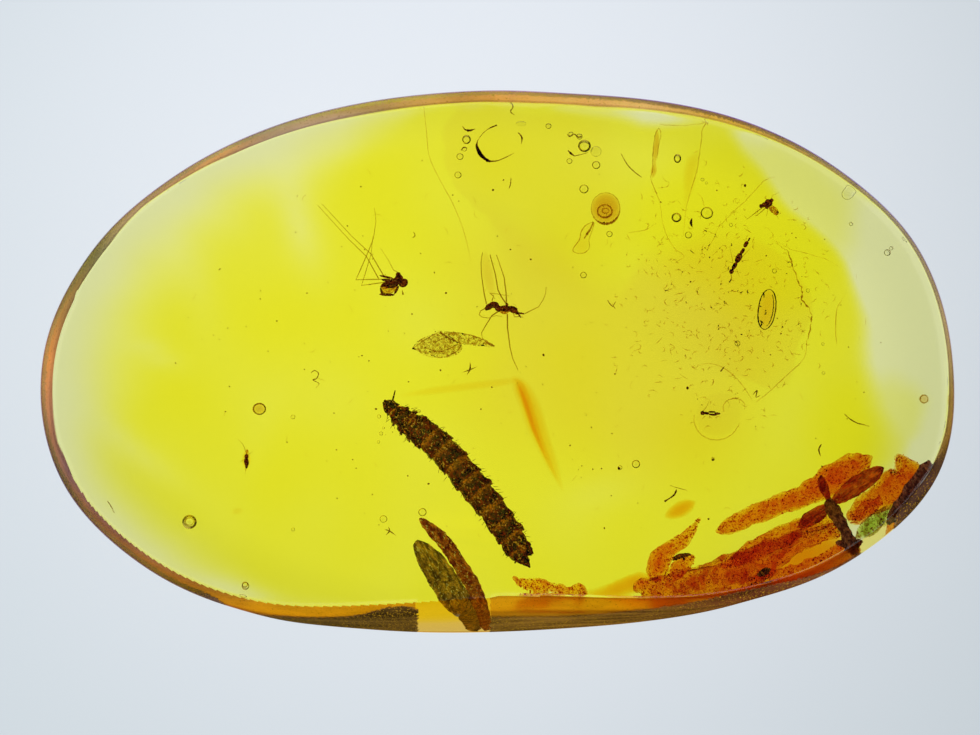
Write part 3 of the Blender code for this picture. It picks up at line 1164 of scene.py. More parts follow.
@dataclass
class Larva:
    """The armoured larva: ringed plates that overlap towards the tail, over a soft body."""

    height_mm: float = 3.6
    tail_height_mm: float = 3.3
    body_depth: float = 0.72
    # Middle of each plate's rear edge in pixels of the frame, and its half width there.
    plates: tuple[tuple[float, float, float], ...] = (
        (388.5, 403.5, 5), (392.5, 408.5, 8.2), (399, 415, 11.6), (407, 421.5, 13.8), (415.5, 427.5, 15),
        (426, 436, 14.8), (439.2, 446.6, 15.8), (453.2, 461.6, 15.9), (466.2, 477.6, 16.2),
        (477.4, 490.4, 15.8), (488.6, 504.8, 15.6), (500.2, 520.6, 15.4), (509.4, 534, 14.8),
        (517.6, 548, 13), (522.5, 558, 9.5))
    lobed_plates: int = 5
    # The pale joint colour is partly the joints' own and partly painted glow of light shining through
    # them.
    clean_plates: int = 5             # behind these, the pale joint colour shows in full
    rings_a_plate: int = 10
    soft_body_share: float = 0.74
    # Rings of one plate: place from the plate in front to this one's rear edge, width, and how much of
    # the pale joint colour shows, a colour that is partly the joints' own and partly painted glow of
    # light shining through them.
    plate_rings: tuple[tuple[float, float, float], ...] = (
        (-0.3, 0.62, 1), (-0.1, 0.78, 1), (0.12, 0.865, 0.75), (0.4, 0.9, 0.1), (0.75, 0.945, 0),
        (0.98, 1, 0), (1.08, 1, 0.15), (1.06, 0.9, 0.5), (0.92, 0.78, 1), (0.8, 0.62, 1))

    def build(self, stone: Stone) -> None:
        """Build the plates, the soft body, the feelers, legs and bristles."""
        count = len(self.plates)
        rows = [(across, down, self.height_mm + (self.tail_height_mm - self.height_mm)
                 * index / (count - 1), half)
                for index, (across, down, half) in enumerate(self.plates)]
        fine = self.rings_a_plate
        path = stone.rings(rows, (count - 1) * fine + 1, self.body_depth)
        pieces = []
        for plate in range(1, count):
            rings = []
            for share, width, pale in self.plate_rings:
                spot = (plate - 1 + share) * fine
                ring = path[clamp(round(spot), 0, len(path) - 1)]
                ahead = (path[plate * fine].middle - path[(plate - 1) * fine].middle)
                lobed = plate < self.lobed_plates
                thin = width if share > 0.5 or not lobed else width * 0.86
                lean = ahead * (0.28 if lobed else 0.20) * max(share, 0.0)
                shift = ahead * (share - (round(spot) / fine - plate + 1))
                rings.append(Ring(ring.middle + shift, ring.across * thin, ring.up * thin,
                                  lean, pale=pale * (0.9 if plate > self.clean_plates else 0.25)))
            piece = loft("plate", rings, 28, 1)
            roughen(piece, 0.05, 0.20, plate)
            pieces.append(piece)
        share = self.soft_body_share
        # The soft body takes the pale tint in full, partly its own colour and partly painted glow of
        # light through it.
        pieces.append(loft("soft_body", [
            Ring(ring.middle, ring.across * share, ring.up * share, pale=1.0)
            for ring in path[2:-2]], 20, 1))
        pieces.extend(self.ends(stone))
        larva = join("larva", pieces)
        roughen(larva, 0.06, 0.11, 3)
        sealed(larva, LARVA_CUTICLE.material())
        self.hairs(stone, path)

    def ends(self, stone: Stone) -> list[bpy.types.Object]:
        """Build the head capsule and the forked tail."""
        high, low = self.height_mm, self.tail_height_mm
        head = loft("head", stone.rings(
            ((384.5, 400.0, high, 0.4), (386.0, 402.0, high, 4.2), (389.0, 405.5, high, 6.8),
             (393.0, 410.0, high, 7.0)), 10, 0.7), 20, 1)
        prongs = [
            loft("prong", stone.rings(rows, 9, 0.8), 12, 1) for rows in (
                ((515.0, 550.0, low, 7.0), (521.0, 557.0, low, 7.0), (526.0, 562.5, low, 4.2),
                 (530.0, 567.5, low - 0.05, 0.8)),
                ((522.0, 546.0, low, 5.0), (527.0, 549.0, low + 0.1, 5.0),
                 (530.5, 552.0, low + 0.1, 3.6), (532.5, 554.5, low + 0.1, 1.2)))]
        return [head, *prongs]

    def hairs(self, stone: Stone, path: list[Ring]) -> None:
        """Add the feelers, six short legs and the bristles along both sides."""
        draw = random.Random(5)
        high = self.height_mm
        runs = [
            [(stone.inside(391.5, 404.0, high + 0.1), 0.022 * MM),
             (stone.inside(393.5, 397.0, high + 0.2), 0.030 * MM),
             (stone.inside(395.2, 390.5, high + 0.3), 0.016 * MM)],
            [(stone.inside(387.0, 404.0, high), 0.03 * MM),
             (stone.inside(384.2, 403.6, high), 0.05 * MM),
             (stone.inside(382.6, 402.4, high), 0.02 * MM)]]
        for index in range(12, len(path) - 8, 2):
            ring = path[index]
            side = -1.0 if draw.random() < 0.6 else 1.0
            start = ring.middle + ring.across * side * 0.93
            out = (ring.across.normalized() * side + ring.up.normalized() * draw.uniform(-0.6, 0.6))
            reach = draw.uniform(0.06, 0.17) * MM
            ahead = path[index + 1].middle - path[index - 1].middle
            tip = start + out * reach + ahead.normalized() * reach * draw.uniform(-0.2, 0.9)
            runs.append([(start, 0.009 * MM), (tip, 0.004 * MM)])
        for index, side in ((22, -1), (32, -1), (42, -1), (22, 1), (32, 1), (42, 1)):
            ring = path[index]
            root = ring.middle + ring.across * side * 0.5 - ring.up * 0.8
            knee = root + ring.across * side * 0.35 - ring.up * 0.5
            foot = knee + ring.across * side * 0.12 - ring.up * 0.5
            runs.append([(root, 0.07 * MM), (knee, 0.05 * MM), (foot, 0.02 * MM)])
        sealed(threads("larva_hairs", runs), LARVA_CUTICLE.material())


def level(height_mm: float, *spots: tuple[float, float, float]
          ) -> tuple[tuple[float, float, float, float], ...]:
    """Give one height to points in pixels that each have a half width."""
    return tuple((across, down, height_mm, half) for across, down, half in spots)


@dataclass(frozen=True)
class Blade:
    """One leafy blade: a row of points in pixels with half widths, and how deep it is."""

    name: str
    rows: tuple[tuple[float, float, float, float], ...]
    depth: float
    finish: NaturalSkin | TintedResin
    lump_mm: float = 0.04

    def build(self, stone: Stone) -> bpy.types.Object:
        """Build the blade with a raised middle rib and a hammered skin."""
        rings = stone.rings(self.rows, 40, self.depth, 1.5)
        blade = loft(self.name, rings, 28, 1)
        roughen(blade, self.lump_mm, 0.22, 1)
        roughen(blade, self.lump_mm * 0.6, 0.07, 2)
        return sealed(blade, self.finish.material())


FRONT_BRACT = Blade("front_bract", ((416.5, 540.5, 4.6, 0.8), (418, 544, 4.6, 4.8),
    (424, 552.5, 4.6, 9.6), (432, 563.5, 4.7, 12.8), (441, 577, 4.9, 14), (449.5, 589.5, 5.3, 14.2),
    (457.7, 602.4, 5.6, 13.4), (467.4, 617, 5.7, 11.4), (474.5, 630, 5.7, 9.5), (478, 640, 5.7, 7)), 0.2,
    LEAF_TISSUE)
BACK_BRACT = Blade("back_bract", ((419.5, 518.5, 4.6, 0.5), (424.5, 523.5, 4.6, 3.6),
    (435.4, 533.8, 4.6, 6.2), (441.6, 539.8, 4.6, 7), (449.9, 550.3, 4.6, 6.9), (456.8, 560.8, 4.6, 7.2),
    (464.2, 572.2, 4.8, 7.4), (471.8, 584.5, 5.1, 7.6), (476.6, 596, 5.4, 7.6), (480.6, 607.5, 5.6, 7.4),
    (485.5, 622, 5.7, 6.8), (489, 640, 5.7, 6)), 0.24, RUSTY_LEAF_TISSUE)
WIDE_BUD_SCALE = Blade("wide_bud_scale", level(4.2, (412, 348.8, 0.4), (420, 346.5, 6.4),
    (430, 345.5, 10), (440, 345.5, 12.4), (449, 347, 10.6), (457, 347.5, 6.6), (461.5, 345, 1.2)), 0.16,
    BUD_SCALE, 0.02)
SLIM_BUD_SCALE = Blade("slim_bud_scale", level(4.4, (438.5, 331.2, 0.6), (446, 334.5, 3.4),
    (455, 337, 4.9), (465, 339, 5.4), (475, 341, 4.8), (484, 343, 3.4), (490, 345, 2), (494.5, 346, 0.5)),
    0.16, BUD_SCALE, 0.02)


@dataclass(frozen=True)
class Lump:
    """One ringed body part: its middle in pixels, its half sizes, its turn and its height."""

    across_px: float
    down_px: float
    half_length_px: float
    half_width_px: float
    turn_deg: float = 0.0        # of the long way, clockwise in the frame from straight right
    rise_mm: float = 0.0
    grooves: int = 0
    clear: bool = False
    tip: float = 0.12            # width of the two ends over the middle

    def build(self, stone: Stone, height_mm: float) -> bpy.types.Object:
        """Build the part as a loft with a groove between its rings."""
        turn = math.radians(self.turn_deg)
        along = Vector((math.cos(turn), math.sin(turn)))
        steps = 4 * self.grooves + 8
        rows = []
        for step in range(steps + 1):
            share = 2.0 * step / steps - 1.0
            width = self.tip + (1.0 - self.tip) * math.sqrt(max(0.0, 1.0 - share * share))
            if self.grooves:
                width *= 1.0 - 0.10 * (0.5 + 0.5 * math.cos(math.pi * (share + 1.0)
                                                            * (self.grooves + 1)))
            rows.append((self.across_px + along.x * share * self.half_length_px,
                         self.down_px + along.y * share * self.half_length_px,
                         height_mm + self.rise_mm,
                         self.half_width_px * width * (0.3 if abs(share) == 1.0 else 1.0)))
        part = loft("part", stone.rings(rows, steps + 1, 0.9), 14, 1)
        roughen(part, 0.010, 0.05, round(self.across_px))
        return part


@dataclass(frozen=True)
class Limb:
    """A leg, feeler or vein: its joints in pixels with a rise in mm, and its thickness."""

    joints: tuple[tuple[float, float, float], ...]
    start_px: float = 1.3
    end_px: float = 0.7

    def run(self, stone: Stone, height_mm: float) -> list[tuple[Vector, float]]:
        """Return the limb's points and radii."""
        points = []
        for index in range(len(self.joints) - 1):
            for part in range(3):
                share = part / 3.0
                near, far = self.joints[index], self.joints[index + 1]
                points.append([one + (two - one) * share for one, two in zip(near, far)])
        points.append(list(self.joints[-1]))
        last = len(points) - 1
        return [(stone.inside(across, down, height_mm + rise),
                 0.5 * PX * (self.start_px + (self.end_px - self.start_px) * index / last))
                for index, (across, down, rise) in enumerate(points)]


@dataclass(frozen=True)
class Insect:
    """A small winged or crawling insect: body parts, limbs and clear wings."""

    name: str
    height_mm: float
    lumps: tuple[Lump, ...]
    limbs: tuple[Limb, ...] = ()
    wings: tuple[tuple[tuple[float, float, float, float], ...], ...] = ()
    limb_finish: TintedResin = TintedResin("limb_cuticle", Absorption(24.0, 34.0, 70.0))

    def build(self, stone: Stone) -> None:
        """Build the dark parts, the clear parts, the limbs and the wings."""
        dark = [lump.build(stone, self.height_mm) for lump in self.lumps if not lump.clear]
        clear = [lump.build(stone, self.height_mm) for lump in self.lumps if lump.clear]
        sealed(join(f"{self.name}_body", dark), GNAT_CUTICLE.material())
        if clear:
            sealed(join(f"{self.name}_belly", clear), GNAT_MEMBRANE.material())
        if self.limbs:
            runs = [limb.run(stone, self.height_mm) for limb in self.limbs]
            sealed(threads(f"{self.name}_limbs", runs), self.limb_finish.material())
        if self.wings:
            blades = [loft("wing", stone.rings(rows, 14, 0.03), 12, 1) for rows in self.wings]
            sealed(join(f"{self.name}_wings", blades), WING_MEMBRANE.material())


INSECTS = (
    Insect("crane_gnat", 4.4, (Lump(403.4, 283, 5.2, 4.2, -35), Lump(399, 278.6, 4.6, 4.2, 60),
        Lump(392, 284.2, 8, 4, -14, 0), Lump(385.5, 284, 6, 2.2, -30), Lump(398.4, 275, 3.2, 2.6, 80),
        Lump(394.5, 281, 8, 3.2, -20, 0.1), Lump(388, 280.5, 7, 1.5, 8, 0.15),
        Lump(386.5, 277, 7.5, 1.2, 12, 0.2), Lump(396.5, 290, 5, 1.4, -62), Lump(387, 294.6, 8, 1.5, 2),
        Lump(381.5, 291.5, 4, 1.2, 75), Lump(389, 288, 9.5, 6.2, -22, 0, 5, True)),
        (Limb(((383.5, 275.5, 0.1), (371, 254, 0.5), (352, 236.5, 0.4), (322, 204, 0.2))),
        Limb(((378.5, 278.5, 0.1), (366.5, 256.5, 0.5), (349, 239.5, 0.3), (318, 205.5, 0))),
        Limb(((390, 279, 0.1), (356, 279.8, 0), (369, 250, 0.4), (373.5, 238, 0.5), (376, 221, 0.6),
        (374.5, 208, 0.6))), Limb(((390, 281.5, 0), (361.5, 285.5, -0.1), (371, 254.5, 0.3),
        (373, 236, 0.3))), Limb(((398, 272.5, 0), (393.5, 270, 0.1), (388, 259.5, 0.3),
        (380.5, 248, 0.3)), 1.1, 0.5), Limb(((402, 289.5, 0), (403.2, 294.8, 0)), 0.6, 2.2))),
    Insect("long_legged_gnat", 4.3, (Lump(489, 306.8, 3.6, 3.2, -20), Lump(486.8, 308.5, 2.2, 2.2, 40),
        Lump(494, 304.8, 5.2, 3.4, 5), Lump(498.5, 308.5, 4, 3.2, 20), Lump(506, 308.6, 6, 3.5, 6, 0, 2),
        Lump(513, 309.6, 5, 3.6, 22, 0, 2), Lump(516.8, 312.5, 2.4, 2, 60),
        Lump(504, 311, 5, 3.2, 8, -0.1, 0, True), Lump(521.5, 313.4, 3.4, 0.9, 8),
        Lump(519.5, 315.5, 3, 0.8, 55), Lump(507, 304.5, 1.6, 1.6, 0)), (Limb(((486.5, 304, 0.1),
        (484, 293, 0.3), (481.3, 273, 0.5), (481, 262, 0.5), (482.5, 252.5, 0.5)), 1.4, 1),
        Limb(((506, 303.5, 0.1), (501.5, 297, 0.2), (498, 290, 0.3), (495.5, 275, 0.4), (492.5, 264, 0.5),
        (490, 254.8, 0.5)), 1.6, 1.2), Limb(((506.5, 303.5, 0.1), (506, 292, 0.2), (504, 277, 0.4),
        (500, 265, 0.4), (496.5, 255, 0.5)), 1.6, 0.9), Limb(((492, 301, 0.1), (493.5, 296, 0.2),
        (489.5, 293, 0.2), (498, 294, 0.2), (509, 296, 0.2))), Limb(((507.3, 314, 0), (507.5, 328, -0.2),
        (510, 347, -0.3), (513, 359, -0.4), (518, 370, -0.5)), 1.7, 0.9), Limb(((499, 311, 0),
        (492, 315.5, 0), (486, 325, -0.1), (481.5, 333, -0.2), (482.5, 338.5, -0.2)), 1.7, 0.8),
        Limb(((485, 308.5, 0), (480.5, 311, 0), (479.2, 314.5, 0), (482, 317.2, 0), (489, 318, 0),
        (496, 315.5, 0), (502, 316.5, 0))), Limb(((513.5, 313, 0), (514.5, 317, 0), (519.5, 316.5, 0),
        (523.5, 317.2, 0)), 1.2, 0.8), Limb(((525, 313.5, 0), (531, 310.5, 0.1), (538.5, 307, 0.2),
        (543, 300, 0.3), (545.5, 294, 0.3), (546.3, 287, 0.3)), 1.2, 0.8)), (((494, 299, 4.4, 1.2),
        (490, 285, 4.6, 5), (487, 270, 4.7, 5.8), (485.5, 257, 4.7, 3.6), (485.5, 251, 4.7, 0.6)),)),
    Insect("thrips", 4, (Lump(731.5, 271.5, 2.6, 2.4, -60), Lump(734.5, 266, 4.6, 2.2, -60, 0, 1),
        Lump(738.6, 258, 5.4, 3.3, -62, 0, 2), Lump(742.5, 251, 3.4, 1.9, -55, 0, 1),
        Lump(746, 244.2, 3.6, 2.2, -60, 0, 1), Lump(749, 239.5, 2.4, 0.9, -60)), (Limb(((731, 273, 0),
        (731.5, 278, 0), (729.5, 282.5, 0)), 0.9, 1.6), Limb(((733, 262, 0), (731.5, 255, 0.1),
        (729.5, 246, 0.1)), 0.9, 0.5), Limb(((741.5, 258, 0), (747.5, 251, 0.1), (750.5, 248.5, 0.1)),
        0.9, 0.5), Limb(((741, 261, 0), (749, 260, 0.1)), 0.8, 0.5), Limb(((734.5, 263.5, 0),
        (724.5, 260.5, 0.1)), 0.8, 0.4), Limb(((736.5, 269, 0), (739.5, 277, 0)), 0.8, 0.4),
        Limb(((730, 269, 0), (721, 273.5, 0)), 0.7, 0.4), Limb(((733, 271, 0), (741, 272.5, 0)), 0.7,
        0.4))),
    Insect("red_midge", 3.7, (Lump(768.5, 203, 4.2, 4, 20), Lump(764.5, 204.8, 3, 2.6, -30),
        Lump(761, 206, 1.9, 2.1, 0), Lump(771.5, 200.5, 2.4, 2, -40), Lump(767, 207.5, 1.8, 1.6, 0),
        Lump(777.5, 212.5, 1.6, 1.2, 45), Lump(773.8, 210.2, 6.2, 3.6, 45, 0, 4, True)),
        (Limb(((764, 206.5, 0), (757, 211.5, 0.1), (750, 217, 0.1), (746.5, 219.5, 0.1))),
        Limb(((765.5, 208, 0), (760, 213, 0.1), (755.5, 216, 0.1))), Limb(((768, 209, 0),
        (766.5, 216, 0)), 0.9, 0.5), Limb(((771, 200, 0), (772.5, 195.5, 0), (779, 192.5, 0)), 0.9, 0.5),
        Limb(((776, 214.5, 0), (779, 219, 0)), 0.9, 0.5))),
    Insect("tiny_wasp", 4.2, (Lump(702.5, 413, 2.4, 2.2, 0), Lump(706.5, 413.2, 3, 1.5, 8),
        Lump(712, 412, 4, 1, 2), Lump(712.5, 414.6, 4.6, 1.1, 6), Lump(717.5, 413.6, 3.2, 1.2, 2, 0, 2)),
        (Limb(((703, 411, 0), (706.5, 407, 0), (709.5, 400, 0)), 1, 0.5), Limb(((705, 416, 0),
        (702, 419, 0)), 1, 0.5), Limb(((709, 416, 0), (712, 418.5, 0)), 1, 0.5))),
    Insect("left_midge", 4, (Lump(246.5, 462, 4, 2.6, 85, 0, 2), Lump(246.5, 456.5, 2.6, 2.2, 90),
        Lump(246.5, 466.5, 2, 1.4, 90), Lump(247, 452, 2.6, 1.4, 95, 0, 0, True)), (Limb(((246, 452, 0),
        (243, 444.5, 0.1), (238, 439, 0.1)), 0.9, 0.5), Limb(((248, 455, 0), (253, 451, 0.1)), 0.8, 0.4),
        Limb(((246, 468, 0), (245, 474, 0)), 0.8, 0.4), Limb(((244, 460, 0), (238.5, 462.5, 0)), 0.8,
        0.4))),
)


@dataclass(frozen=True)
class SoftBody:
    """A stained or clotted body in the resin that thins out towards its edges."""

    name: str
    rows: tuple[tuple[float, float, float, float], ...]
    finish: TintedResin
    depth: float = 1.0
    edge: float = 1.6
    lump_mm: float = 0.12
    seed: int = 0

    def build(self, stone: Stone) -> bpy.types.Object:
        """Build the body and give it an uneven outline."""
        body = loft(self.name, stone.rings(self.rows, 36, self.depth, self.edge), 24, 1)
        roughen(body, self.lump_mm, 0.45, self.seed)
        roughen(body, self.lump_mm * 0.5, 0.15, self.seed + 7)
        return sealed(body, self.finish.material())


CLOT = TintedResin("clotted_sap", Absorption(0.12, 0.92, 5.0), "#e8a080", 0.45, "#b85030")
DENSE_CLOT = TintedResin("dense_clotted_sap", Absorption(0.14, 1.08, 6.0), "#c86048", 0.5,
                         "#8c2010")
AMBER_STAIN = TintedResin("orange_stain", Absorption(0.03, 0.42, 2.0))
BROWN_JELLY = TintedResin("brown_jelly", Absorption(0.52, 1.50, 3.4))
CAPSULE_JELLY = TintedResin("capsule_jelly", Absorption(0.12, 0.50, 1.6))
PALE_JELLY = TintedResin("pale_jelly", Absorption(0.10, 0.36, 1.2))
DARK_GRAIN = TintedResin("dark_grain", Absorption(14.0, 44.0, 80.0))
GREEN_TISSUE = TintedResin("green_plant_tissue", Absorption(3.0, 1.9, 9.0), "#b09040", 0.20)

CLOTS = (
    SoftBody("upper_clot", level(2.7, (716, 531.5, 1), (724, 528, 6.5), (740, 521.5, 8.8),
        (760, 512, 9.6), (788, 501.5, 10.2), (808, 494, 11.5), (828, 482, 14.5), (848, 470, 14),
        (863, 463, 10), (873, 456, 2)), CLOT, 2.2, 1.4, 0.1, 1),
    SoftBody("right_clot", level(2.6, (899, 454, 2), (903, 463, 10), (908, 476, 17), (894, 490, 17),
        (878, 501, 13), (862, 510, 10), (846, 517, 4)), CLOT, 1.7, 1.3, 0.12, 2),
    SoftBody("lower_clot", level(2.3, (634, 588, 3), (645, 588, 9.5), (665, 587, 11.5), (690, 582, 12.5),
        (715, 578, 15.5), (740, 571, 19), (765, 558, 17), (790, 545.5, 11), (815, 536, 9), (834, 531, 7),
        (846, 530, 2)), DENSE_CLOT, 1.5, 1.2, 0.14, 3),
    SoftBody("foot_clot", level(2.3, (746, 582, 2), (760, 579, 6), (778, 574, 5), (800, 568, 4),
        (822, 559, 5), (842, 549, 6), (850, 545, 2)), CLOT, 1.8, 1.3, 0.12, 17),
    SoftBody("middle_clot", level(2.9, (722, 567, 2), (740, 558, 8), (762, 546, 11), (785, 535.5, 11),
        (810, 526, 9), (834, 519, 5)), CLOT, 1.8, 1.4, 0.1, 4),
    SoftBody("rising_clot", level(2.6, (655, 582, 3), (656, 572, 10), (661, 558, 11), (671, 549, 8.5),
        (683, 540, 6.5), (692, 530, 4), (697, 522, 2.2), (701, 518, 0.6)), CLOT, 2, 1.3, 0.08, 5),
    SoftBody("short_clot", level(2.9, (664, 580, 2), (675, 571, 8), (687, 562, 7.5), (694, 556, 2)), CLOT,
        1.8, 1.4, 0.08, 6),
    SoftBody("loose_clot", level(3.2, (665, 517, 1), (671, 514, 6), (681, 509, 8), (690, 504.5, 6),
        (696, 501, 1)), AMBER_STAIN, 3, 1.8, 0.04, 7),
    SoftBody("front_smear", level(3.6, (514, 610, 1), (523, 605.5, 5), (535, 602, 6.5), (550, 599, 5),
        (568, 597.5, 6), (580, 598.5, 5), (588, 596.5, 1)), CLOT, 1.6, 1.3, 0.08, 8),
    SoftBody("front_stain", level(3, (585, 597, 1), (600, 594, 6), (620, 588, 9), (640, 581, 9),
        (652, 576, 3)), AMBER_STAIN, 2.6, 1.8, 0.08, 9),
    SoftBody("side_stain", level(2.2, (752, 580, 3), (776, 569, 14), (804, 557, 17), (830, 546, 14),
        (848, 537, 4)), AMBER_STAIN, 2.4, 1.5, 0.1, 10),
    SoftBody("green_bud", level(5.3, (856, 538.5, 1.5), (863, 531.5, 6.5), (871, 524.5, 8),
        (879, 517, 6.5), (886, 509, 3), (889, 504, 0.6)), GREEN_TISSUE, 0.6, 1, 0.04, 11),
    SoftBody("small_green_bud", level(5.2, (880, 526, 1), (885, 520, 3.5), (889, 513, 4),
        (893, 505, 1.5)), GREEN_TISSUE, 0.7, 1, 0.03, 12),
    SoftBody("bud_stem_clot", level(4, (848, 522, 2), (858, 516, 8), (870, 508, 8), (882, 500, 4)), CLOT,
        1.2, 1.3, 0.08, 18),
    SoftBody("left_drop", level(4, (253.5, 409, 1), (255, 409, 4), (259.5, 409, 5.2), (264, 409, 4),
        (265.5, 409, 1)), BROWN_JELLY, 0.8, 1, 0),
    SoftBody("left_flake", level(4, (232, 514, 0.8), (236, 511.5, 3.4), (240.5, 510.5, 3),
        (244, 512, 0.8)), PALE_JELLY, 1.4, 1, 0.03, 19),
    SoftBody("midge_halo", level(4, (246.5, 448, 1), (246.5, 454, 4), (246.3, 462, 4.6), (246, 471, 1.2)),
        AMBER_STAIN, 1.8, 1.6, 0.02, 20),
    SoftBody("crease", level(3.2, (516, 379, 0.8), (520.5, 386, 5), (526.5, 402, 5.6), (533, 422, 5.2),
        (540, 441, 4.2), (547.5, 459, 3.2), (555, 475, 1.6), (558, 481, 0.4)), AMBER_STAIN, 2.2, 2, 0.02,
        13),
    SoftBody("crease_glow", level(3.2, (512, 376, 2), (520, 386, 9), (529, 404, 11), (536, 424, 11),
        (544, 444, 9), (552, 464, 7), (560, 484, 3), (564, 492, 0.6)), AMBER_STAIN, 0.9, 2.4, 0, 16),
    SoftBody("crease_heart", level(3.2, (517, 382, 0.4), (521.5, 392, 2.2), (528, 411, 2.6),
        (534.5, 431, 2.4), (541, 447, 1.6), (547, 460, 0.4)), AMBER_STAIN, 5, 2, 0.02, 15),
    SoftBody("brown_disc", level(4, (591, 208.3, 0.8), (592.5, 208.3, 7), (596.5, 208.3, 12),
        (602, 208.3, 15), (608, 208.3, 15.4), (614, 208.3, 13), (618, 208.3, 8.5), (620, 208.3, 1)),
        BROWN_JELLY, 0.5, 1, 0),
    SoftBody("disc_tail", level(4, (593, 222, 0.6), (588.5, 229, 4), (585, 237, 5), (582, 245, 7),
        (579.5, 251.5, 5), (579, 253.5, 1)), PALE_JELLY, 0.7, 1, 0.03),
    SoftBody("brown_drop", level(4.2, (920, 399, 0.8), (921.5, 399, 3), (924, 399, 3.8), (926.5, 399, 3),
        (928, 399, 0.8)), BROWN_JELLY, 1, 1, 0),
    SoftBody("capsule", level(3.8, (769.9, 289.3, 1), (769.4, 292, 5.4), (768.6, 298, 8.2),
        (767, 309.4, 8.8), (765.4, 320.5, 8.2), (764.6, 326.5, 5.4), (764.1, 329.5, 1)), CAPSULE_JELLY, 1,
        1, 0),
    SoftBody("fissure_stain", level(3.9, (657, 129, 0.6), (657, 138, 3), (655.5, 152, 2.8),
        (654.5, 163, 1.8), (653.5, 171, 3.2), (652.5, 178, 0.8)), BROWN_JELLY, 1.6, 1.4, 0.03),
    SoftBody("fissure_glow", level(3.9, (700, 150, 0.8), (694, 160, 7), (690, 172, 8), (688.5, 186, 6),
        (686, 200, 3), (684, 212, 0.6)), PALE_JELLY, 0.9, 2, 0.04),
    SoftBody("cross_crease", level(3.2, (398, 396, 0.6), (425, 392, 4), (455, 388, 4.5),
        (485, 384.5, 4.5), (508, 381.5, 4), (519, 380, 1)), AMBER_STAIN, 0.9, 2, 0, 14),
)


# Resinous twig bark and scales: red brown, dark where thick, with painted highlight spots.
BARK = NaturalSkin("twig_bark", "#8c1c08", "#e06424", "#ffb040", 0.16, 0.05, 0.35, 0.75, 0.8,
                   0.4, "#ffc080", 0.5, 0.0, 34.0, 3.2)
# Wings: colourless sheets that only take a little of the light.
WING_MEMBRANE = TintedResin("wing_membrane", Absorption(5.0, 14.0, 20.0))
# Rotten wood crumbs: nearly black, with painted highlight spots.
CRUMB = NaturalSkin("wood_crumb", "#602c20", "#b06c4c", "#6a3010", 0.12, 0.04, 0.5, 0.4,
                    contrast=0.5, glint="#e0a878", glints=0.4, fibre_deg=-58.0, fibre_length=3.0)

TWIG_PARTS = (
    Blade("twig_scale_left", level(3.7, (821, 475, 0.8), (821.5, 480, 3.8), (824, 488, 4.6),
        (827.5, 497, 3.2), (829, 504, 2)), 0.6, BARK, 0.02),
    Blade("twig_leaf", level(3.8, (830, 504, 1.5), (838, 498.5, 5.5), (848, 491.5, 8.6),
        (860, 483.5, 9.6), (872, 476, 8), (880, 470.5, 5), (884.5, 467.5, 0.8)), 0.35, BARK, 0.03),
    Blade("twig_scale_low", level(3.6, (798.5, 527, 1), (804, 523, 6), (813, 517, 7.6), (822, 511, 6.4),
        (830, 505, 3)), 0.4, BARK, 0.03),
    Blade("twig_stem", ((828, 500, 4.2, 4), (832, 508, 4.4, 7), (838.5, 519, 4.6, 6.4),
        (845, 530, 4.9, 5.2), (849, 539, 5.2, 6.5), (853, 548, 5.6, 7), (858, 556, 5.6, 3.5)), 0.45,
        CRUMB, 0.05),
    Blade("twig_stub", ((836.5, 542, 5, 1), (843, 543.5, 5.2, 4), (851, 544, 5.4, 5), (859, 543, 5.6, 3),
        (863, 542, 5.6, 1)), 0.4, CRUMB, 0.04),
    Blade("rim_crumb", level(5.6, (929.5, 460, 1), (926, 467, 5), (919.5, 480, 8), (909.5, 496, 8.5),
        (900.5, 510, 8), (893, 520, 5), (889, 526, 1.5)), 0.25, CRUMB, 0.05),
    Blade("bent_crumb", level(3.6, (672.5, 560, 0.8), (677, 557.5, 2.2), (684, 555.5, 2.2),
        (690.5, 554, 0.6)), 0.7, CRUMB, 0.03),
    Blade("loop_crumb", level(3.4, (757, 575.5, 0.6), (760.5, 574, 3), (766, 571.5, 3.2),
        (770.5, 568.5, 0.8)), 0.6, CRUMB, 0.03),
)


@dataclass(frozen=True)
class Bubble:
    """A hollow in the resin: its middle and half width in pixels, height and flatness."""

    across_px: float
    down_px: float
    radius_px: float
    height_mm: float = 3.4
    flatness: float = 0.6
    stretch: float = 1.0

    def build(self, stone: Stone) -> bpy.types.Object:
        """Build the hollow's skin, facing into the air that it holds."""
        deselect()
        bpy.ops.mesh.primitive_ico_sphere_add(subdivisions=4 if self.radius_px > 4.0 else 3,
                                              radius=self.radius_px * PX)
        skin = bpy.context.active_object
        skin.data.transform(Matrix.Diagonal((1.0, self.stretch, self.flatness, 1.0)))
        roughen(skin, 0.05 * self.radius_px * PX / MM, self.radius_px * PX / MM, 1)
        skin.data.transform(Matrix.Translation(
            stone.inside(self.across_px, self.down_px, self.height_mm)))
        skin.data.flip_normals()
        skin.data.shade_smooth()
        return skin


